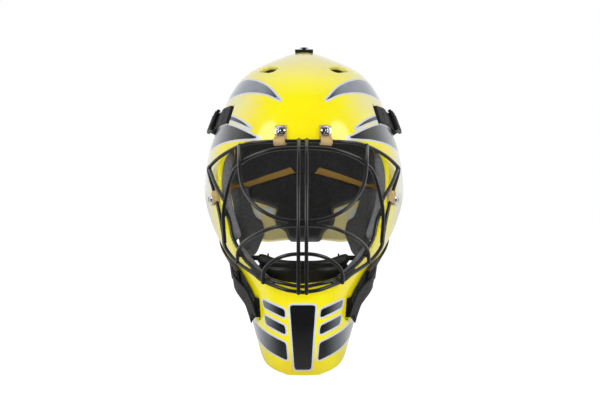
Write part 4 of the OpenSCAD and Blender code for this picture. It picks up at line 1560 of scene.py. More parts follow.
@dataclass
class Cage:
    """Bent wires welded into a face guard."""
    wire: float = 3.7
    bar_pitch: float = 7.6
    spacing: float = 2.0
    bead: float = 4.6
    weld_gap: float = 1.3
    bar: Pairs = (
        (-111.6, 59.2), (-128.5, 47), (-142, 25), (-151.5, 2), (-157.6, -20), (-159.6, -42),
        (-157.5, -62), (-152.2, -88.9))
    arches: dict[str, Sequence[tuple[float, float, float]]] = field(default_factory=lambda: {
        "cage_brow_arch": (
            (0, -125, 50.5), (20, -124, 49.8), (36, -120.5, 47.2), (52, -113, 41.5),
            (62, -106.5, 35), (69, -99, 27), (75, -91, 10), (79.5, -84, -14), (78, -83.5, -44)),
        "cage_opening_loop": (
            (0, -143.5, -82.8), (17, -139.5, -80.3), (31, -131.5, -76.8), (44, -120.5, -69.8),
            (51, -113, -63.8), (58, -105, -57), (65.5, -96.5, -45), (70, -90.5, -36),
            (73.5, -84.5, -20), (79.2, -81, -7)),
        "cage_eye_loop": (
            (0, -154, -20.1), (21, -151.5, -18.2), (38.6, -144.5, -10.5), (50, -136.5, -0.5),
            (57.3, -128, 11.2), (61, -119, 24.3), (62.4, -109, 40), (63.5, -89.2, 54.2)),
        "cage_nose_arch": (
            (0, -155, -23.6), (25.5, -150, -25.7), (43.7, -137, -32.7), (56.6, -121, -40.8),
            (63.3, -108.5, -49.4), (64.7, -100.6, -61)),
        "cage_mouth_arch": (
            (0, -156, -51.1), (12.5, -154.5, -52), (24.2, -149.5, -55.9), (34, -142, -63.2),
            (37.8, -136.5, -70), (38.6, -131, -79.8)),
    })

    def _line(self, keys: Keys) -> Points:
        """Points along a wire's middle."""
        return curve_at(keys, even_places(keys, self.spacing))

    def _lines(self) -> dict[str, list[Points]]:
        """Middle lines of every wire, by the node that it stands for."""
        lines = {"cage_rim": [self._line(mirrored_route(RIM_HALF))[:-1]]}
        for name, half in self.arches.items():
            lines[name] = [self._line(mirrored_route(half))]
        for side in Side:
            bar = self._line([(self.bar_pitch / 2, *place) for place in self.bar])
            lines[f"cage_bar_{side.value}"] = [side.point(bar)]
        brace = self._line([(95.6, -50.8, 31.5), (89, -68, 17), (78.6, -86.4, -0.4)])
        lines["cage_braces"] = [brace, brace * [-1, 1, 1]]
        return lines

    def _bead(self, middle: Points, way: Points) -> Form:
        """A weld bead, a little longer along the wires' gap than it is wide.

        Args:
            middle: its middle.
            way: direction from one wire to the other.

        Returns:
            The bead.
        """
        ball = lathe([(0.02, -1.0), (0.5, -0.86), (0.86, -0.5), (1.0, 0), (0.86, 0.5),
                      (0.5, 0.86), (0.02, 1.0)], 14)
        z = unit(way)
        x = unit(np.cross(z, [0.3, 0.9, 0.2]))
        size = self.bead / 2
        axes = Axes(middle, x * size, np.cross(z, x) * size, z * size * 1.1)
        return axes.carry(ball)

    def _weld(self, mine: Points, theirs: Points) -> list[Form]:
        """Welds between two wires: a bead where they cross, a fillet where they run together.

        Args:
            mine: points of the first wire.
            theirs: points of the second wire.

        Returns:
            The welds.
        """
        gap = np.linalg.norm(mine[:, None] - theirs[None], axis=2)
        pairs = theirs[gap.argmin(1)]
        close = np.flatnonzero(gap.min(1) < self.wire + self.weld_gap)
        welds = []
        for run in np.split(close, np.flatnonzero(np.diff(close) > 1) + 1):
            if len(run) > 3:
                welds.append(tube((mine[run] + pairs[run]) / 2, 0.75 * self.wire, sides=10))
            elif len(run):
                i = run[gap.min(1)[run].argmin()]
                welds.append(self._bead((mine[i] + pairs[i]) / 2, pairs[i] - mine[i]))
        return welds

    def _welds(self, name: str, lines: dict[str, list[Points]]) -> list[Form]:
        """Welds between a wire and those listed before it."""
        names = list(lines)
        return [weld for other in names[:names.index(name)] for mine in lines[name]
                for theirs in lines[other] for weld in self._weld(mine, theirs)]

    def build(self) -> None:
        """Builds each wire with the welds that hold it to the others."""
        lines = self._lines()
        for name, routes in lines.items():
            wires = [tube(route, self.wire, name == "cage_rim") for route in routes]
            hand_in(joined(wires + self._welds(name, lines)), name + "_wire", [CoatedWire()],
                    Slot.CAGE, "helmet", name, 60)


@dataclass
class Clips:
    """Folded clips over the rim wire, with their domed screws."""
    width: float = 12.0
    thickness: float = 1.6
    wire: float = 4.2
    foot_room: float = 0.7
    wrap_end: float = 235.0
    spacing: float = 0.8
    head_d: float = 11.0
    head_h: float = 3.2
    doming: float = 1.9
    recess: float = 6.4
    recess_half: float = 0.62
    recess_depth: float = 1.5

    def _strip(self, place: Pair, on_rim: float) -> Form:
        """One clip: foot, knee, wrap round the wire and the short end that comes back.

        Args:
            place: turn and height of its screw.
            on_rim: place of its wire, counted in the rim's keys.

        Returns:
            The right-hand clip.
        """
        axes = HELMET.axes(*place)
        line = curve_at(RIM_HALF, np.array([on_rim - 0.05, on_rim, on_rim + 0.05]))
        wire_at, way = line[1], unit(line[2] - line[0])
        normal = axes.z
        screw = axes.out((0, 0, self.foot_room + self.thickness / 2))
        wrap = self.wire / 2 + GAP + self.thickness / 2
        seat = wire_at - wrap * normal
        out = unit((seat - screw) - ((seat - screw) @ normal) * normal)
        foot = self.head_d / 2 + GAP
        profile = [screw - foot * out, screw, screw + 0.7 * foot * out, screw + foot * out]
        round_x = unit(np.cross(way, normal))
        if round_x @ out < 0:
            round_x = -round_x
        knee = screw + foot * out
        for share in (0.35, 0.7):
            profile.append(knee + share * (seat - knee))
        for turn in np.linspace(-90, self.wrap_end, 16):
            a = math.radians(turn)
            profile.append(wire_at + wrap * (math.cos(a) * round_x + math.sin(a) * normal))
        back = profile[-1]
        land = screw + (foot + 0.5) * out + self.thickness * 1.05 * normal
        for share in (0.5, 1.0):
            profile.append(back + share * (land - back))
        line = curve_at(profile, even_places(profile, self.spacing))
        sideways = np.broadcast_to(unit(np.cross(normal, out)), line.shape)
        along = unit(np.gradient(line, axis=0))
        sweep = Sweep(line, sideways, np.cross(along, sideways))
        return sweep.form(flat_section(self.width, self.thickness, 0.5), dome=0.5)

    def _screw(self, place: Pair) -> Form:
        """A domed head with a cross recess, its rim and its shank.

        Args:
            place: turn and height of the screw.

        Returns:
            The right-hand screw.
        """
        radius = self.head_d / 2
        rings = np.concatenate([np.linspace(0.02, 0.62, 14), np.linspace(0.66, 1, 9)]) * radius
        sides = 96
        x, y = (rings[:, None] * part for part in circle(sides).T)
        r = np.broadcast_to(rings[:, None], x.shape)
        dome = self.head_h - (self.head_d - np.sqrt(self.head_d ** 2 - r ** 2)) * self.doming
        slot = np.minimum(*(np.maximum(np.abs(p) - self.recess_half, np.abs(q) - self.recess / 2)
                            for p, q in ((x, y), (y, x))))
        depth = np.clip((0.12 - slot) / 0.24, 0, 1) * self.recess_depth * (1 - 0.75 * r / radius)
        rows = np.stack([x, y, np.maximum(dome, 0.8) - depth], 2)[::-1]
        foot = [np.column_stack([k * rows[0, :, :2], np.full(sides, h)])
                for k, h in ((0.9, 0.0), (1.0, 0.0), (1.04, 0.35), (1.03, 0.7))]
        points = np.vstack([*foot, rows.reshape(-1, 3)])
        faces = capped_faces(len(rings) + len(foot), sides)
        seat = GAP + self.foot_room + self.thickness
        shank = lathe([(2.2, -seat - SHELL_T - 1), (2.4, -seat - SHELL_T - 0.6), (2.4, 0.2)], 24)
        axes = HELMET.axes(place[0], place[1], seat)
        spin = math.radians(20 + 37 * (place[0] % 5))
        turned = Axes(axes.origin, math.cos(spin) * axes.x + math.sin(spin) * axes.y,
                      math.cos(spin) * axes.y - math.sin(spin) * axes.x, axes.z)
        return turned.carry(Form(points, faces) + shank)

    def build(self) -> None:
        """Builds four clips and the group of four screws."""
        heads = []
        for place, on_rim, name in ((TOP_CLIP_AT, TOP_CLIP_ON_RIM, "top_clip"),
                                    (SIDE_CLIP_AT, SIDE_CLIP_ON_RIM, "side_clip")):
            strip = self._strip(place, on_rim)
            for side in Side:
                node = f"{name}_{side.value}"
                hand_in(side.of(strip), node + "_strip", [MouldedTan()], Slot.CLIP, "helmet",
                        node)
            head = self._screw(place)
            heads += [head, head.mirrored()]
        hand_in(joined(heads), "domed_screws", [Chrome()], Slot.CHROME, "helmet",
                "clip_screws", 50)


# Lining

@dataclass
class Pad:
    """A foam pad on the wall: its outline, its thickness and its pressed channels."""
    name: str
    first: Pairs
    second: Pairs
    body: str = "helmet"
    thickness: float = 12.0
    corner: float = 7.0
    arc: float = 3.6
    swell: float = 1.3
    swell_run: float = 9.0
    seat: float = 0.1
    turn_step: float = 2.0
    level_step: float = 2.1
    level_height: float = 26.0
    holes: bool = False
    vent_room: float = 4.0
    channel_w: float = 2.6
    channel_depth: float = 2.2
    channels: Sequence[Pairs] = ()

    def form(self) -> Form:
        """Builds the right-hand or middle pad."""
        outline = Outline(HELMET, [*self.first, *reversed(self.second)], self.corner)
        low, high = outline.flat.min(0), outline.flat.max(0)
        half_width = HELMET.half_width((low[1] + high[1]) / 2)
        step = self.turn_step / (math.radians(1) * half_width)
        turns = np.arange(low[0] - 1, high[0] + 1 + step, step)
        top, foot = HELMET.level(np.array([high[1] + 1.5, low[1] - 1.5]))
        rows = int((foot - top) * self.level_height / self.level_step)
        levels = np.linspace(max(top, 0.05), foot, max(12, rows))
        turn, height, roll, length, width = VENT
        vents = [HELMET.axes(side * turn, height, 0, side * roll) for side in (-1, 1)]

        def keep(points: Points, normals: Points) -> np.ndarray:
            """Distance to the pad's outline and to the holes at the vents."""
            kept = outline.depth(points, HELMET.locate(points))
            if self.holes:
                for axes in vents:
                    kept = np.minimum(kept, slot_gap(points, axes, length + self.vent_room,
                                                     width + self.vent_room))
            return kept - self.arc

        depth = self.thickness

        def low_face(kept: np.ndarray) -> np.ndarray:
            """Offset of the face on the head's side."""
            bulge = self.swell * (1 - np.exp(-np.maximum(kept, 0) / self.swell_run))
            return -(SHELL_T + self.seat + depth + bulge)

        share = 1 - self.arc / depth
        rim = [(self.arc - 0.4, 0.0), (self.arc, 0.03), (self.arc, share)]
        for turn in (22.5, 45, 67.5, 84):
            a = math.radians(turn)
            rim.append((self.arc * math.cos(a), share + (1 - share) * math.sin(a)))
        form = Wall(HELMET, turns, levels, keep, lambda d: 0 * d - SHELL_T - self.seat, low_face,
                    rim).form()
        if self.channels:
            self._press(form)
        return form

    def _press(self, form: Form) -> None:
        """Presses the channels into the face on the head's side.

        Args:
            form: the pad, whose points are moved.
        """
        skin = HELMET.at(*HELMET.locate(form.points).T)
        inward = unit(skin - form.points)
        inner = np.linalg.norm(skin - form.points, axis=1) > SHELL_T + 0.6 * self.thickness
        deep = np.zeros(len(form.points))
        for line in self.channels:
            for point in HELMET.at(*smooth_line(line, 24).T):
                shifted = point - inward * (SHELL_T + self.thickness)
                gap = np.linalg.norm(form.points - shifted, axis=1)
                deep = np.maximum(deep, np.exp(-(gap / self.channel_w) ** 2))
        form.points = form.points + inward * (deep * inner * self.channel_depth)[:, None]

    def build(self) -> None:
        """Makes the pad, or both pads of a pair, and puts them on their body."""
        form = self.form()
        paired = self.name in ("side_pad", "jaw_pad", "back_side_pad")
        # Paired pads get foam painted paler as painted light; on the helmet their cut sides are
        # painted lighter still as a painted highlight.
        face = SideFoamPaintedLight() if paired else Foam()
        rim = FoamEdgePaintedLight() if paired and self.body == "helmet" else face
        pads = ({f"{self.name}_{side.value}": side.of(form) for side in Side} if paired
                else {self.name: form})
        for node, pad in pads.items():
            hand_in(pad, node + "_foam", [face, face, rim], Slot.FOAM, self.body, node, 50)


class Lining:
    """All foam pads, the chin cup and the tape on the bare wall."""
    centre_edge = ((193, -49.5), (194.5, -38), (201.5, -31), (201.5, -20), (199, -12),
                   (210, -5.5), (221.5, 0), (222, 13), (189, 29.2))
    hooks = ((154.5, -14.4, 11, 8), (144.9, -18, 10, 12))
    tape_t = 1.7
    cup_t = 7.0
    cup_rim = 3.4
    cup_middle = (0, -78, -68)
    cup_reach = 106
    cup_lump = 66
    cup_seam = -66.5

    def pads(self) -> list[Pad]:
        """The pads in the order of the part's nodes."""
        centre = self.centre_edge
        return [
            Pad("forehead_pad", ((-44, 61), (-15, 59.5), (15, 59.5), (44, 61)),
                ((-40, 98), (-13, 104), (13, 104), (40, 98)),
                channels=(((-18, 62), (-16, 100)), ((18, 62), (16, 100)))),
            Pad("crown_pad", ((-82, 119), (-30, 115), (30, 115), (82, 119)),
                ((-82, 150), (-30, 150), (30, 150), (82, 150)), holes=True,
                channels=(((0, 116), (0, 149)),)),
            Pad("side_pad", ((57, -42), (84, -50), (115, -42)), ((57, 50), (84, 66), (114, 60)),
                corner=12, channels=(((60, 14), (84, 20), (109, 18)),
                                     ((60, -14), (84, -18), (109, -14)))),
            Pad("jaw_pad", ((34, -96), (52, -94.5), (68, -89), (84, -74)),
                ((34, -77), (43, -70), (51, -60), (58, -46)), thickness=7.2, arc=2.6),
            Pad("back_top_pad",
                ((125, 16), (140, 22.5), (170, 38.5), (174, 29), (186, 29), (190, 38.5),
                 (220, 22.5), (235, 16)),
                ((127, 88), (145, 98), (160, 103), (173, 104), (187, 104), (200, 103),
                 (215, 98), (233, 88)), "back_plate", corner=4,
                channels=(((150, 28), (152, 98)), ((210, 28), (208, 98)))),
            Pad("back_centre_pad", centre, tuple((360 - t, z) for t, z in centre), "back_plate",
                corner=4, arc=3.0),
            Pad("back_side_pad",
                ((119, -68), (127, -63.5), (135, -55), (142.5, -45), (143.5, -30),
                 (137.5, -25), (135.5, -8), (135, 15)),
                ((112, -62), (113, -57.5), (117.5, -52.5), (120.5, -44), (121.5, -36),
                 (125, -22), (126, -8), (126, 11)), "back_plate", corner=4, arc=2.6),
        ]

    def _cup(self) -> Form:
        """The chin cup: a padded sling with a rolled rim and a fuller pad at each end."""
        top = [(104, -53), (80, -53.5), (60, -54), (44, -56.5), (28, -58.5), (0, -59)]
        corners = [(-104, -90), (0, -90), (104, -90), *top] + [(-t, z) for t, z in top[-2::-1]]
        outline = Outline(CUP, corners, 9)

        def keep(points: Points, normals: Points) -> np.ndarray:
            """Distance to the cup's rim."""
            return outline.depth(points, CUP.locate(points)) - self.cup_rim

        rim = [(self.cup_rim * math.sin(math.radians(a)), 0.5 - 0.5 * math.cos(math.radians(a)))
               for a in (12, 35, 60, 90, 120, 145, 168)]
        turns = np.arange(-self.cup_reach, self.cup_reach + 0.1, 2.0)
        form = Wall(CUP, turns, np.linspace(0.02, 4.98, 44), keep,
                    lambda d: 0.5 * (1 - np.exp(-np.maximum(d, 0) / 6)),
                    lambda d: -self.cup_t - 1.4 * (1 - np.exp(-np.maximum(d, 0) / 7)),
                    rim).form()
        places = CUP.locate(form.points)
        lump = np.exp(-((np.abs(places[:, 0]) - self.cup_lump) / 20) ** 2)
        rib = 0.5 + 0.5 * np.cos(np.radians(places[:, 0]) * 9)
        inner = np.linalg.norm(form.points - CUP.at(*places.T), axis=1) > self.cup_t / 2
        inward = unit(np.array(self.cup_middle) - form.points)
        seam = self.cup_seam + 3.5 * (np.abs(places[:, 0]) / 90) ** 2
        below = form.points[:, 2] - seam
        groove = 1.7 * np.exp(-(below / 1.5) ** 2) - 0.9 * np.exp(-((below - 5) / 3) ** 2)
        push = np.where(inner, 1.6 * lump - 0.5 * rib, groove - 0.8 * lump)
        form.points = form.points + inward * push[:, None]
        return form

    def _tape(self) -> Form:
        """The tape pieces on the right of the bare wall."""
        plates = []
        for turn, height, length, width in self.hooks:
            axes = HELMET.axes(turn, height, -(SHELL_T + 0.9))
            line = axes.out([(x, 0, 0) for x in np.linspace(-length / 2, length / 2, 9)])
            plates.append(Sweep.along_line(line, axes.z).form(
                flat_section(width, self.tape_t, 0.5), dome=0.5))
        return joined(plates)

    def build(self) -> None:
        """Builds the lining."""
        for pad in self.pads():
            pad.build()
        hand_in(self._cup(), "chin_cup_cover", [CupCover()] * 3, Slot.CUP, "chin_cup",
                "chin_cup", 60)
        tape = self._tape()
        hand_in(tape + tape.mirrored(), "hook_tape", [HookTape()], Slot.HOOK, "back_plate",
                "hook_patches")


# Harness

@dataclass
class Harness:
    """Webbing, elastic, buckles, tails and rivets."""
    width: float = 19.0
    thickness: float = 1.4
    buckle_l: float = 17.0
    buckle_t: float = 3.6
    loop_d: float = 3.0
    rail_w: float = 2.2
    rivet_d: float = 9.0
    lift_tab: float = 3.0
    spacing: float = 1.4
    seam_in: float = 2.2
    stitch: float = 2.4
    thread_d: float = 0.62
    tooth: Pairs = (
        (-1.75, 0.2), (-1.2, 1.5), (0, 1.75), (1.2, 1.5), (1.75, 0.2))

    def __post_init__(self) -> None:
        """Works out the places of the buckles and straps, as the part's source does."""
        self.mid = GAP + self.thickness / 2
        self.eye_r = self.loop_d / 2 + GAP + self.thickness
        self.off = GAP + self.thickness + GAP + self.buckle_t / 2
        self.span = self.width + 2 * GAP + self.rail_w
        self.under = -(self.buckle_t / 2 + GAP + self.thickness / 2)
        self.eye_low = -(self.loop_d / 2 + GAP + self.thickness / 2)
        self.top = HELMET.axes(180, 150.2, self.off + 0.8, -90)
        self.upper = HELMET.axes(86, 82, self.off + 1.8, -12, 8)
        self.lower = HELMET.axes(63, -79, self.off + 0.6, 26)

    def _key(self, axes: Axes, local: Sequence[float]) -> list[float]:
        """A strap's key given in a buckle's axes."""
        return [*axes.out(local), *axes.z]

    def _eye(self, axes: Axes, start: float, end: float) -> Keys:
        """Webbing round a loop bar.

        Args:
            axes: the bar's middle, with Y along it.
            start: where it starts, in degrees from X towards Z.
            end: where it ends.

        Returns:
            Its keys.
        """
        keys = []
        radius = -self.eye_low
        for turn in np.linspace(start, end, 7):
            a = math.radians(turn)
            out = math.cos(a) * axes.x + math.sin(a) * axes.z
            keys.append([*(axes.origin + radius * out), *-out])
        return keys

    def _dive(self, turn: float, height: float) -> Keys:
        """Webbing that lies on the wall's inside and comes out through a slot.

        Args:
            turn: turn of the slot.
            height: height of the slot.

        Returns:
            Its keys.
        """
        axes = HELMET.axes(turn, height)
        places = ((-5.5, -SHELL_T - self.mid - 0.2, 1, 0), (-1.6, -SHELL_T - self.mid, 1, 0),
                  (0, -SHELL_T + 0.4, 0.4, -1), (0.5, -1.8, 0, -1),
                  (1.7, self.mid - 0.5, 0.8, -1), (3.9, self.mid, 1, 0))
        return [[*axes.out((x, 0, z)), *unit(up * axes.z + back * axes.x)]
                for x, z, up, back in places]

    def _ribbon(self, keys: Keys, start: float = 0,
                end: float | None = None, spacing: float | None = None) -> Form:
        """Webbing along its keys, or between two of them."""
        sweep = Sweep.along_route(keys, spacing or self.spacing, start, end)
        return sweep.form(flat_section(self.width, self.thickness, 0.5, 3, 10), dome=0.4)

    def _loop(self, keys: Keys, axes: Axes) -> Form:
        """Webbing that comes to a loop bar, goes round it and is sewn back under itself."""
        return self._ribbon(keys + self._eye(axes, -80, 168), spacing=0.9)

    def _stitches(self, axes: Axes, low: float, high: float, lift: float) -> Form:
        """A crossed box of stitches on a strap.

        Args:
            axes: its middle, with X along the strap.
            low: where it starts along X.
            high: where it ends along X.
            lift: height of the strap's face.

        Returns:
            The stitches, with the second finish.
        """
        forms = []
        half = self.width / 2 - self.seam_in
        lines = [((low, -half), (low, half)), ((high, -half), (high, half)),
                 ((low, -half), (high, -half)), ((low, half), (high, half)),
                 ((low, -half), (high, half)), ((low, half), (high, -half))]
        for first, last in lines:
            start, end = np.array([*first, lift]), np.array([*last, lift])
            count = max(2, int(np.linalg.norm(end - start) / self.stitch))
            for k in range(count):
                arch = [start + (end - start) * (k + share) / count + [0, 0, up]
                        for share, up in ((0.14, -0.25), (0.14, 0.12), (0.5, 0.2), (0.86, 0.12),
                                          (0.86, -0.25))]
                forms.append(tube(axes.out(arch), self.thread_d, sides=8))
        return joined(forms).with_finish(1)

    def _buckle(self) -> Form:
        """A ladder-lock in its own axes: rails, loop bar, ribbed ladder bars and lift tab."""
        length, height, half = self.buckle_l, self.buckle_t, self.span / 2

        def bar(line: Points, section: Points, sizes: Points | None = None, dome: float = 0
                ) -> Form:
            """A bar of the frame, which faces up."""
            return Sweep.along_line(line, (0, 0, 1)).form(section, sizes, dome=dome)

        x = np.concatenate([[-height / 2], np.linspace(-1, length + 1, 14), [length + height / 2]])
        waist = 1 - 0.16 * np.sin(np.pi * np.clip(x / length, 0, 1)) ** 2
        rail = flat_section(self.rail_w, height, 0.7, 4, 2)
        forms = [bar(np.stack([x, np.full_like(x, side * half), 0 * x], 1), rail,
                     np.stack([np.ones_like(x), waist], 1), 0.9) for side in (-1, 1)]
        loop = np.stack([np.zeros(9), np.linspace(-half, half, 9), np.zeros(9)], 1)
        forms.append(bar(loop, self.loop_d / 2 * circle(20)))
        for place in (0.55 * length, length):
            forms.append(bar(loop + [place, 0, 0],
                             flat_section(height - 0.4, height - 0.5, 0.9, 4, 2)))
            for y in np.linspace(-self.width / 2 + 1.2, self.width / 2 - 1.2, 9):
                tooth = np.array([(place + run, y, up) for run, up in self.tooth])
                forms.append(tube(tooth, 0.75, sides=8))
        tab = np.stack([np.linspace(length + 0.6, length + self.lift_tab + height / 2, 8),
                        np.zeros(8), 0.3 + 0.9 * np.linspace(0, 1, 8) ** 2], 1)
        forms.append(bar(tab, flat_section(self.span - 2 * self.rail_w + 1.6, 1.9, 0.7, 4, 8),
                         dome=0.8))
        for y in np.linspace(-self.width / 2 + 1.6, self.width / 2 - 1.6, 8):
            forms.append(tube(tab[1:-1] + [0, y, 0.95], 0.8, sides=8))
        return joined(forms)

    def _notched(self, keys: Keys, notch: float) -> Form:
        """A ribbon whose last end is cut to a V.

        Args:
            keys: keys of the ribbon.
            notch: depth of the V.

        Returns:
            The ribbon.
        """
        form = self._ribbon(keys)
        lay = form.fields["lay"]
        limit = lay[:, 0].max() - notch * (1 - np.abs(lay[:, 1]) / (self.width / 2))
        over = lay[:, 0] > limit
        sweep = Sweep.along_route(keys, self.spacing)
        stations = run_along(sweep.centres)
        centres, sideways, facing = (
            np.stack([np.interp(limit[over], stations, column) for column in rows.T], 1)
            for rows in (sweep.centres, sweep.sideways, sweep.facing))
        form.points[over] = centres + lay[over, 1:2] * sideways + lay[over, 2:] * facing
        return form

    def _rivet(self, place: Pair, seat: float) -> Form:
        """A domed rivet with a stepped rim and its shank.

        Args:
            place: its turn and height.
            seat: height of its rim off the skin.

        Returns:
            The rivet.
        """
        r = self.rivet_d / 2
        head = lathe([(1.9, -seat - SHELL_T), (2.0, 0.0), (0.96 * r, 0.0), (r, 0.2),
                      (0.98 * r, 0.45), (0.86 * r, 0.62), (0.84 * r, 0.74), (0.7 * r, 1.05),
                      (0.5 * r, 1.3), (0.25 * r, 1.42), (0.05, 1.45)], 36)
        return HELMET.axes(place[0], place[1], seat).carry(head)

    def _routes(self) -> dict[str, Keys]:
        """Keys of the right-hand straps and of the middle ones."""
        mid, low, under = self.mid, self.eye_low, self.under
        key, skin = self._key, HELMET.key
        upper, lower, top = self.upper, self.lower, self.top
        crown, fold = mid + 0.2, mid + 0.2 + self.thickness
        return {
            "upper_webbing": [*self._dive(*STRAP_SLOT[:2]), skin(66, 86.5, mid),
                              skin(75, 85.5, mid + 0.4), key(upper, (-6, 0, low - 0.6))],
            "upper_strap": [key(upper, (self.eye_r + GAP, 0, under)),
                            key(upper, (self.buckle_l + 2, 0, under)), skin(103, 77, 6.5),
                            skin(114, 72.5, 3), skin(124, 67, mid + 0.4), skin(134, 61, mid)],
            "lower_webbing": [*self._dive(*CHIN_SLOT[:2])[:-1], skin(56, -102.5, mid + 0.2),
                              skin(58.2, -95.5, mid + 0.5), key(lower, (-7.5, -1.5, low))],
            "lower_strap": [key(lower, (self.eye_r + GAP, 0, under)),
                            key(lower, (self.buckle_l + 2, 0, under)), skin(85, -63, mid + 0.6),
                            skin(99, -50, mid + 0.6), skin(114, -36, mid + 0.8),
                            skin(124, -25, mid + 0.4), skin(133, -18, mid)],
            "strap_tail": [key(lower, (0.5 * self.buckle_l, -3, -under + 0.6)),
                           key(lower, (-2, -4, self.eye_r + GAP + self.thickness / 2)),
                           skin(58, -95, 6.5), skin(56, -106, 5.5), skin(55, -117, 5)],
            "top_webbing": [skin(0, 154.6, crown), skin(180, 155.4, crown),
                            skin(180, 154.2, crown), key(top, (-6, 0, low))],
            "top_fold": [skin(0, 154.7, fold), skin(180, 155.3, fold), skin(180, 154, fold)],
            "top_elastic": [key(top, (self.eye_r + GAP, 0, under)),
                            key(top, (self.buckle_l, 0, under)), skin(180, 140, mid + 0.8),
                            skin(180, 132, mid), skin(180, 122, mid)],
        }

    def _bend(self, side: Side, first: str, second: str, keys: Keys, start: float,
              end: float) -> Bend:
        """A bend between two places of a route.

        Args:
            side: which side of the helmet.
            first: body that the fabric follows up to the start.
            second: body that it follows from the end.
            keys: keys of the right-hand route.
            start: where the bend starts, counted in keys.
            end: where it ends.

        Returns:
            The bend.
        """
        rows = curve_at(keys, np.array([start, end]))[:, :3]
        return Bend(first, second, side.point(rows[0]), side.point(rows[1]))

    def _side_straps(self, side: Side, routes: dict[str, Keys]) -> None:
        """Webbing, strap, elastic and buckle of the upper and lower strap of one side.

        Args:
            side: which side of the helmet.
            routes: keys of the right-hand straps.
        """
        end = side.value
        for level, axes, split in (("upper", self.upper, 2.2), ("lower", self.lower, 2.4)):
            webbing, route = routes[f"{level}_webbing"], routes[f"{level}_strap"]
            buckle = f"{level}_buckle_{end}"
            loop = self._loop(webbing, axes) + self._stitches(
                self._sewn(webbing), -3.2, 3.2, self.thickness / 2)
            hand_in(side.of(loop), f"{level}_loop_{end}", [Webbing(), Thread()], Slot.WEBBING,
                    "helmet", f"{level}_webbing_{end}", 50)
            hand_in(side.of(axes.carry(self._buckle())), f"{level}_ladder_lock_{end}",
                    [BuckleNylon()], Slot.BUCKLE, buckle, buckle)
            hand_in(side.of(self._ribbon(route, 0, split)), f"{level}_front_strap_{end}",
                    [Webbing()], Slot.WEBBING,
                    self._bend(side, buckle, "helmet", route, 0.4, split - 0.4),
                    f"{level}_strap_{end}", 50)
            hand_in(side.of(self._ribbon(route, split - 0.02)), f"{level}_rear_elastic_{end}",
                    [Elastic()], Slot.WEBBING,
                    self._bend(side, "helmet", "back_plate", route, split + 0.1,
                               len(route) - 2.2),
                    f"{level}_elastic_{end}", 50)

    def _sewn(self, keys: Keys) -> Axes:
        """Axes in the middle of the sewn part of a webbing.

        Args:
            keys: the webbing's keys.

        Returns:
            The axes, with X along it.
        """
        rows = curve_at(keys, np.array([len(keys) - 2.6, len(keys) - 2.4]))
        way = unit(rows[1, :3] - rows[0, :3])
        face = rows[0, 3:]
        sideways = unit(np.cross(face, way))
        return Axes(rows[0, :3], way, sideways, np.cross(way, sideways))

    def build(self) -> None:
        """Builds the harness."""
        routes = self._routes()
        for side in Side:
            self._side_straps(side, routes)
            tail = self._notched(routes["strap_tail"], 6.5)
            hand_in(side.of(tail), f"hanging_tail_{side.value}", [Webbing()], Slot.WEBBING,
                    self._bend(side, f"lower_buckle_{side.value}", "helmet",
                               routes["strap_tail"], 0.6, 2.0),
                    f"strap_tail_{side.value}", 50)
        crown = self._loop(routes["top_webbing"], self.top) + self._ribbon(routes["top_fold"])
        hand_in(crown, "crown_loop", [Webbing(), Thread()], Slot.WEBBING, "helmet",
                "top_webbing", 50)
        hand_in(self.top.carry(self._buckle()), "crown_ladder_lock", [BuckleNylon()], Slot.BUCKLE,
                "back_plate", "top_buckle")
        hand_in(self._ribbon(routes["top_elastic"]), "crown_elastic", [Elastic()], Slot.WEBBING,
                "back_plate", "top_elastic", 50)
        seat = self.mid + 0.2 + 1.5 * self.thickness + 2 * GAP
        hand_in(self._rivet((0, 155.3), seat), "crown_rivet", [RivetMetal()], Slot.RIVET,
                "helmet", "top_rivet")
        places = [(180, 126.5), (131, 62.8), (-131, 62.8), (130, -20.3), (-130, -20.3)]
        rivets = [self._rivet(p, self.mid + self.thickness / 2 + 2 * GAP - 0.5) for p in places]
        hand_in(joined(rivets), "back_plate_rivets", [RivetMetal()], Slot.RIVET, "back_plate",
                "back_rivets")


def finish_kept_nodes() -> None:
    """Gives the CAD nodes that stay their own material."""
    for name, finish in (("clip_nuts", ZincSteel()), ("chin_studs", BuckleNylon())):
        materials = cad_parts[name].data.materials
        materials.clear()
        materials.append(finish.material())
        log.info("%s: kept", name)


# Stage

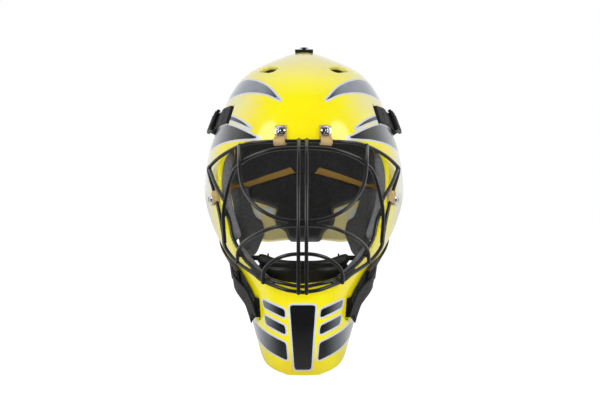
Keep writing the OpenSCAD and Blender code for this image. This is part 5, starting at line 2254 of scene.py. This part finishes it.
@dataclass
class Stage:
    """Floor, background, lamps and camera."""
    photo_width: float = 600
    scale: float = 1.05
    distance: float = 1.6
    sensor: float = 36
    aside: float = 0.0150
    aim: float = -0.0042
    floor_reach: float = 9.0
    floor_front: float = -0.6
    floor_drop: float = 0.6
    dark_room: float = 0.05

    def _floor(self) -> None:
        """A white floor that keeps the object's shadow and is dark in gloss in front."""
        mesh = bpy.data.meshes.new("floor")
        z = CAD_BOX[0][2] - self.floor_drop * MM
        far, near = self.floor_reach, self.floor_front
        mesh.from_pydata([(-far, near, z), (far, near, z), (far, far, z), (-far, far, z)], [],
                         [(0, 1, 2, 3)])
        floor = bpy.data.objects.new("floor", mesh)
        bpy.context.scene.collection.objects.link(floor)
        material = bpy.data.materials.new("PaleFloor")
        material.use_nodes = True
        bench = Bench(material.node_tree)
        white = bench.add("ShaderNodeBsdfDiffuse", None, {"Color": (0.93, 0.93, 0.93)})
        gloss = bench.ray("Glossy")
        mixed = bench.blend(bench.seen() * 0.62 - gloss * 0.3, white,
                            bench.light("Emission", 1.45))
        front = bench.place().part("Y").step(0.15, -0.3)
        faded = bench.blend(front * gloss, mixed, bench.light("Emission", self.dark_room))
        bench.add("ShaderNodeOutputMaterial", None, {"Surface": faded})
        mesh.materials.append(material)

    def _world(self) -> None:
        """White where it is seen, dimmer as a light, and a dark room in gloss in front."""
        world = bpy.data.worlds.new("studio")
        world.use_nodes = True
        bpy.context.scene.world = world
        bench = Bench(world.node_tree)
        seen = bench.blend(bench.seen(), bench.light("Background", 0.42),
                           bench.light("Background", 1.0))
        way = bench.add("ShaderNodeTexCoord", None, None, "Generated")
        front = way.part("Y").step(0.35, -0.4) * bench.ray("Glossy")
        mixed = bench.blend(front, seen, bench.light("Background", self.dark_room))
        bench.add("ShaderNodeOutputWorld", None, {"Surface": mixed})

    def _lamp(self, name: str, place: tuple[float, float, float], size: float, power: float,
              mirrored: bool = True) -> None:
        """Adds a soft round lamp that faces the object.

        Args:
            name: its name.
            place: where it hangs, in metres.
            size: its diameter, in metres.
            power: its power, in watts.
            mirrored: whether it shows in reflections.
        """
        lamp = bpy.data.lights.new(name, "AREA")
        lamp.shape, lamp.size, lamp.energy = "DISK", size, power
        holder = bpy.data.objects.new(name, lamp)
        holder.location = place
        holder.rotation_euler = (-Vector(place)).to_track_quat("-Z", "Y").to_euler()
        holder.visible_glossy = mirrored
        bpy.context.scene.collection.objects.link(holder)

    def _camera(self) -> None:
        """The photograph's view: level, 1.6 m in front."""
        lens = bpy.data.cameras.new("camera")
        lens.sensor_width = self.sensor
        lens.lens = self.sensor * self.distance / (self.photo_width * self.scale * MM)
        camera = bpy.data.objects.new("camera", lens)
        camera.location = (self.aside, -self.distance, 0.0)
        way = Vector((self.aim, 0.0, 0.0)) - camera.location
        camera.rotation_euler = way.to_track_quat("-Z", "Y").to_euler()
        bpy.context.scene.collection.objects.link(camera)
        bpy.context.scene.camera = camera

    def build(self) -> None:
        """Builds the stage."""
        self._camera()
        self._world()
        self._floor()
        self._lamp("left_softbox", (-1.35, -0.95, 0.65), 0.8, 7)
        self._lamp("right_softbox", (1.35, -0.95, 0.65), 0.8, 7)
        self._lamp("top_softbox", (0, 0.3, 1.8), 1.2, 3, False)
        self._lamp("front_fill", (0.0, -1.9, -0.1), 0.4, 13, False)
        bpy.context.scene.view_settings.view_transform = "Standard"


def main() -> None:
    """Builds the scene in order."""
    logging.basicConfig(level=logging.INFO, format="%(name)s %(message)s")
    Stage().build()
    Shell().build()
    Cage().build()
    Clips().build()
    Lining().build()
    Harness().build()
    finish_kept_nodes()


if __name__ == "__main__":
    main()
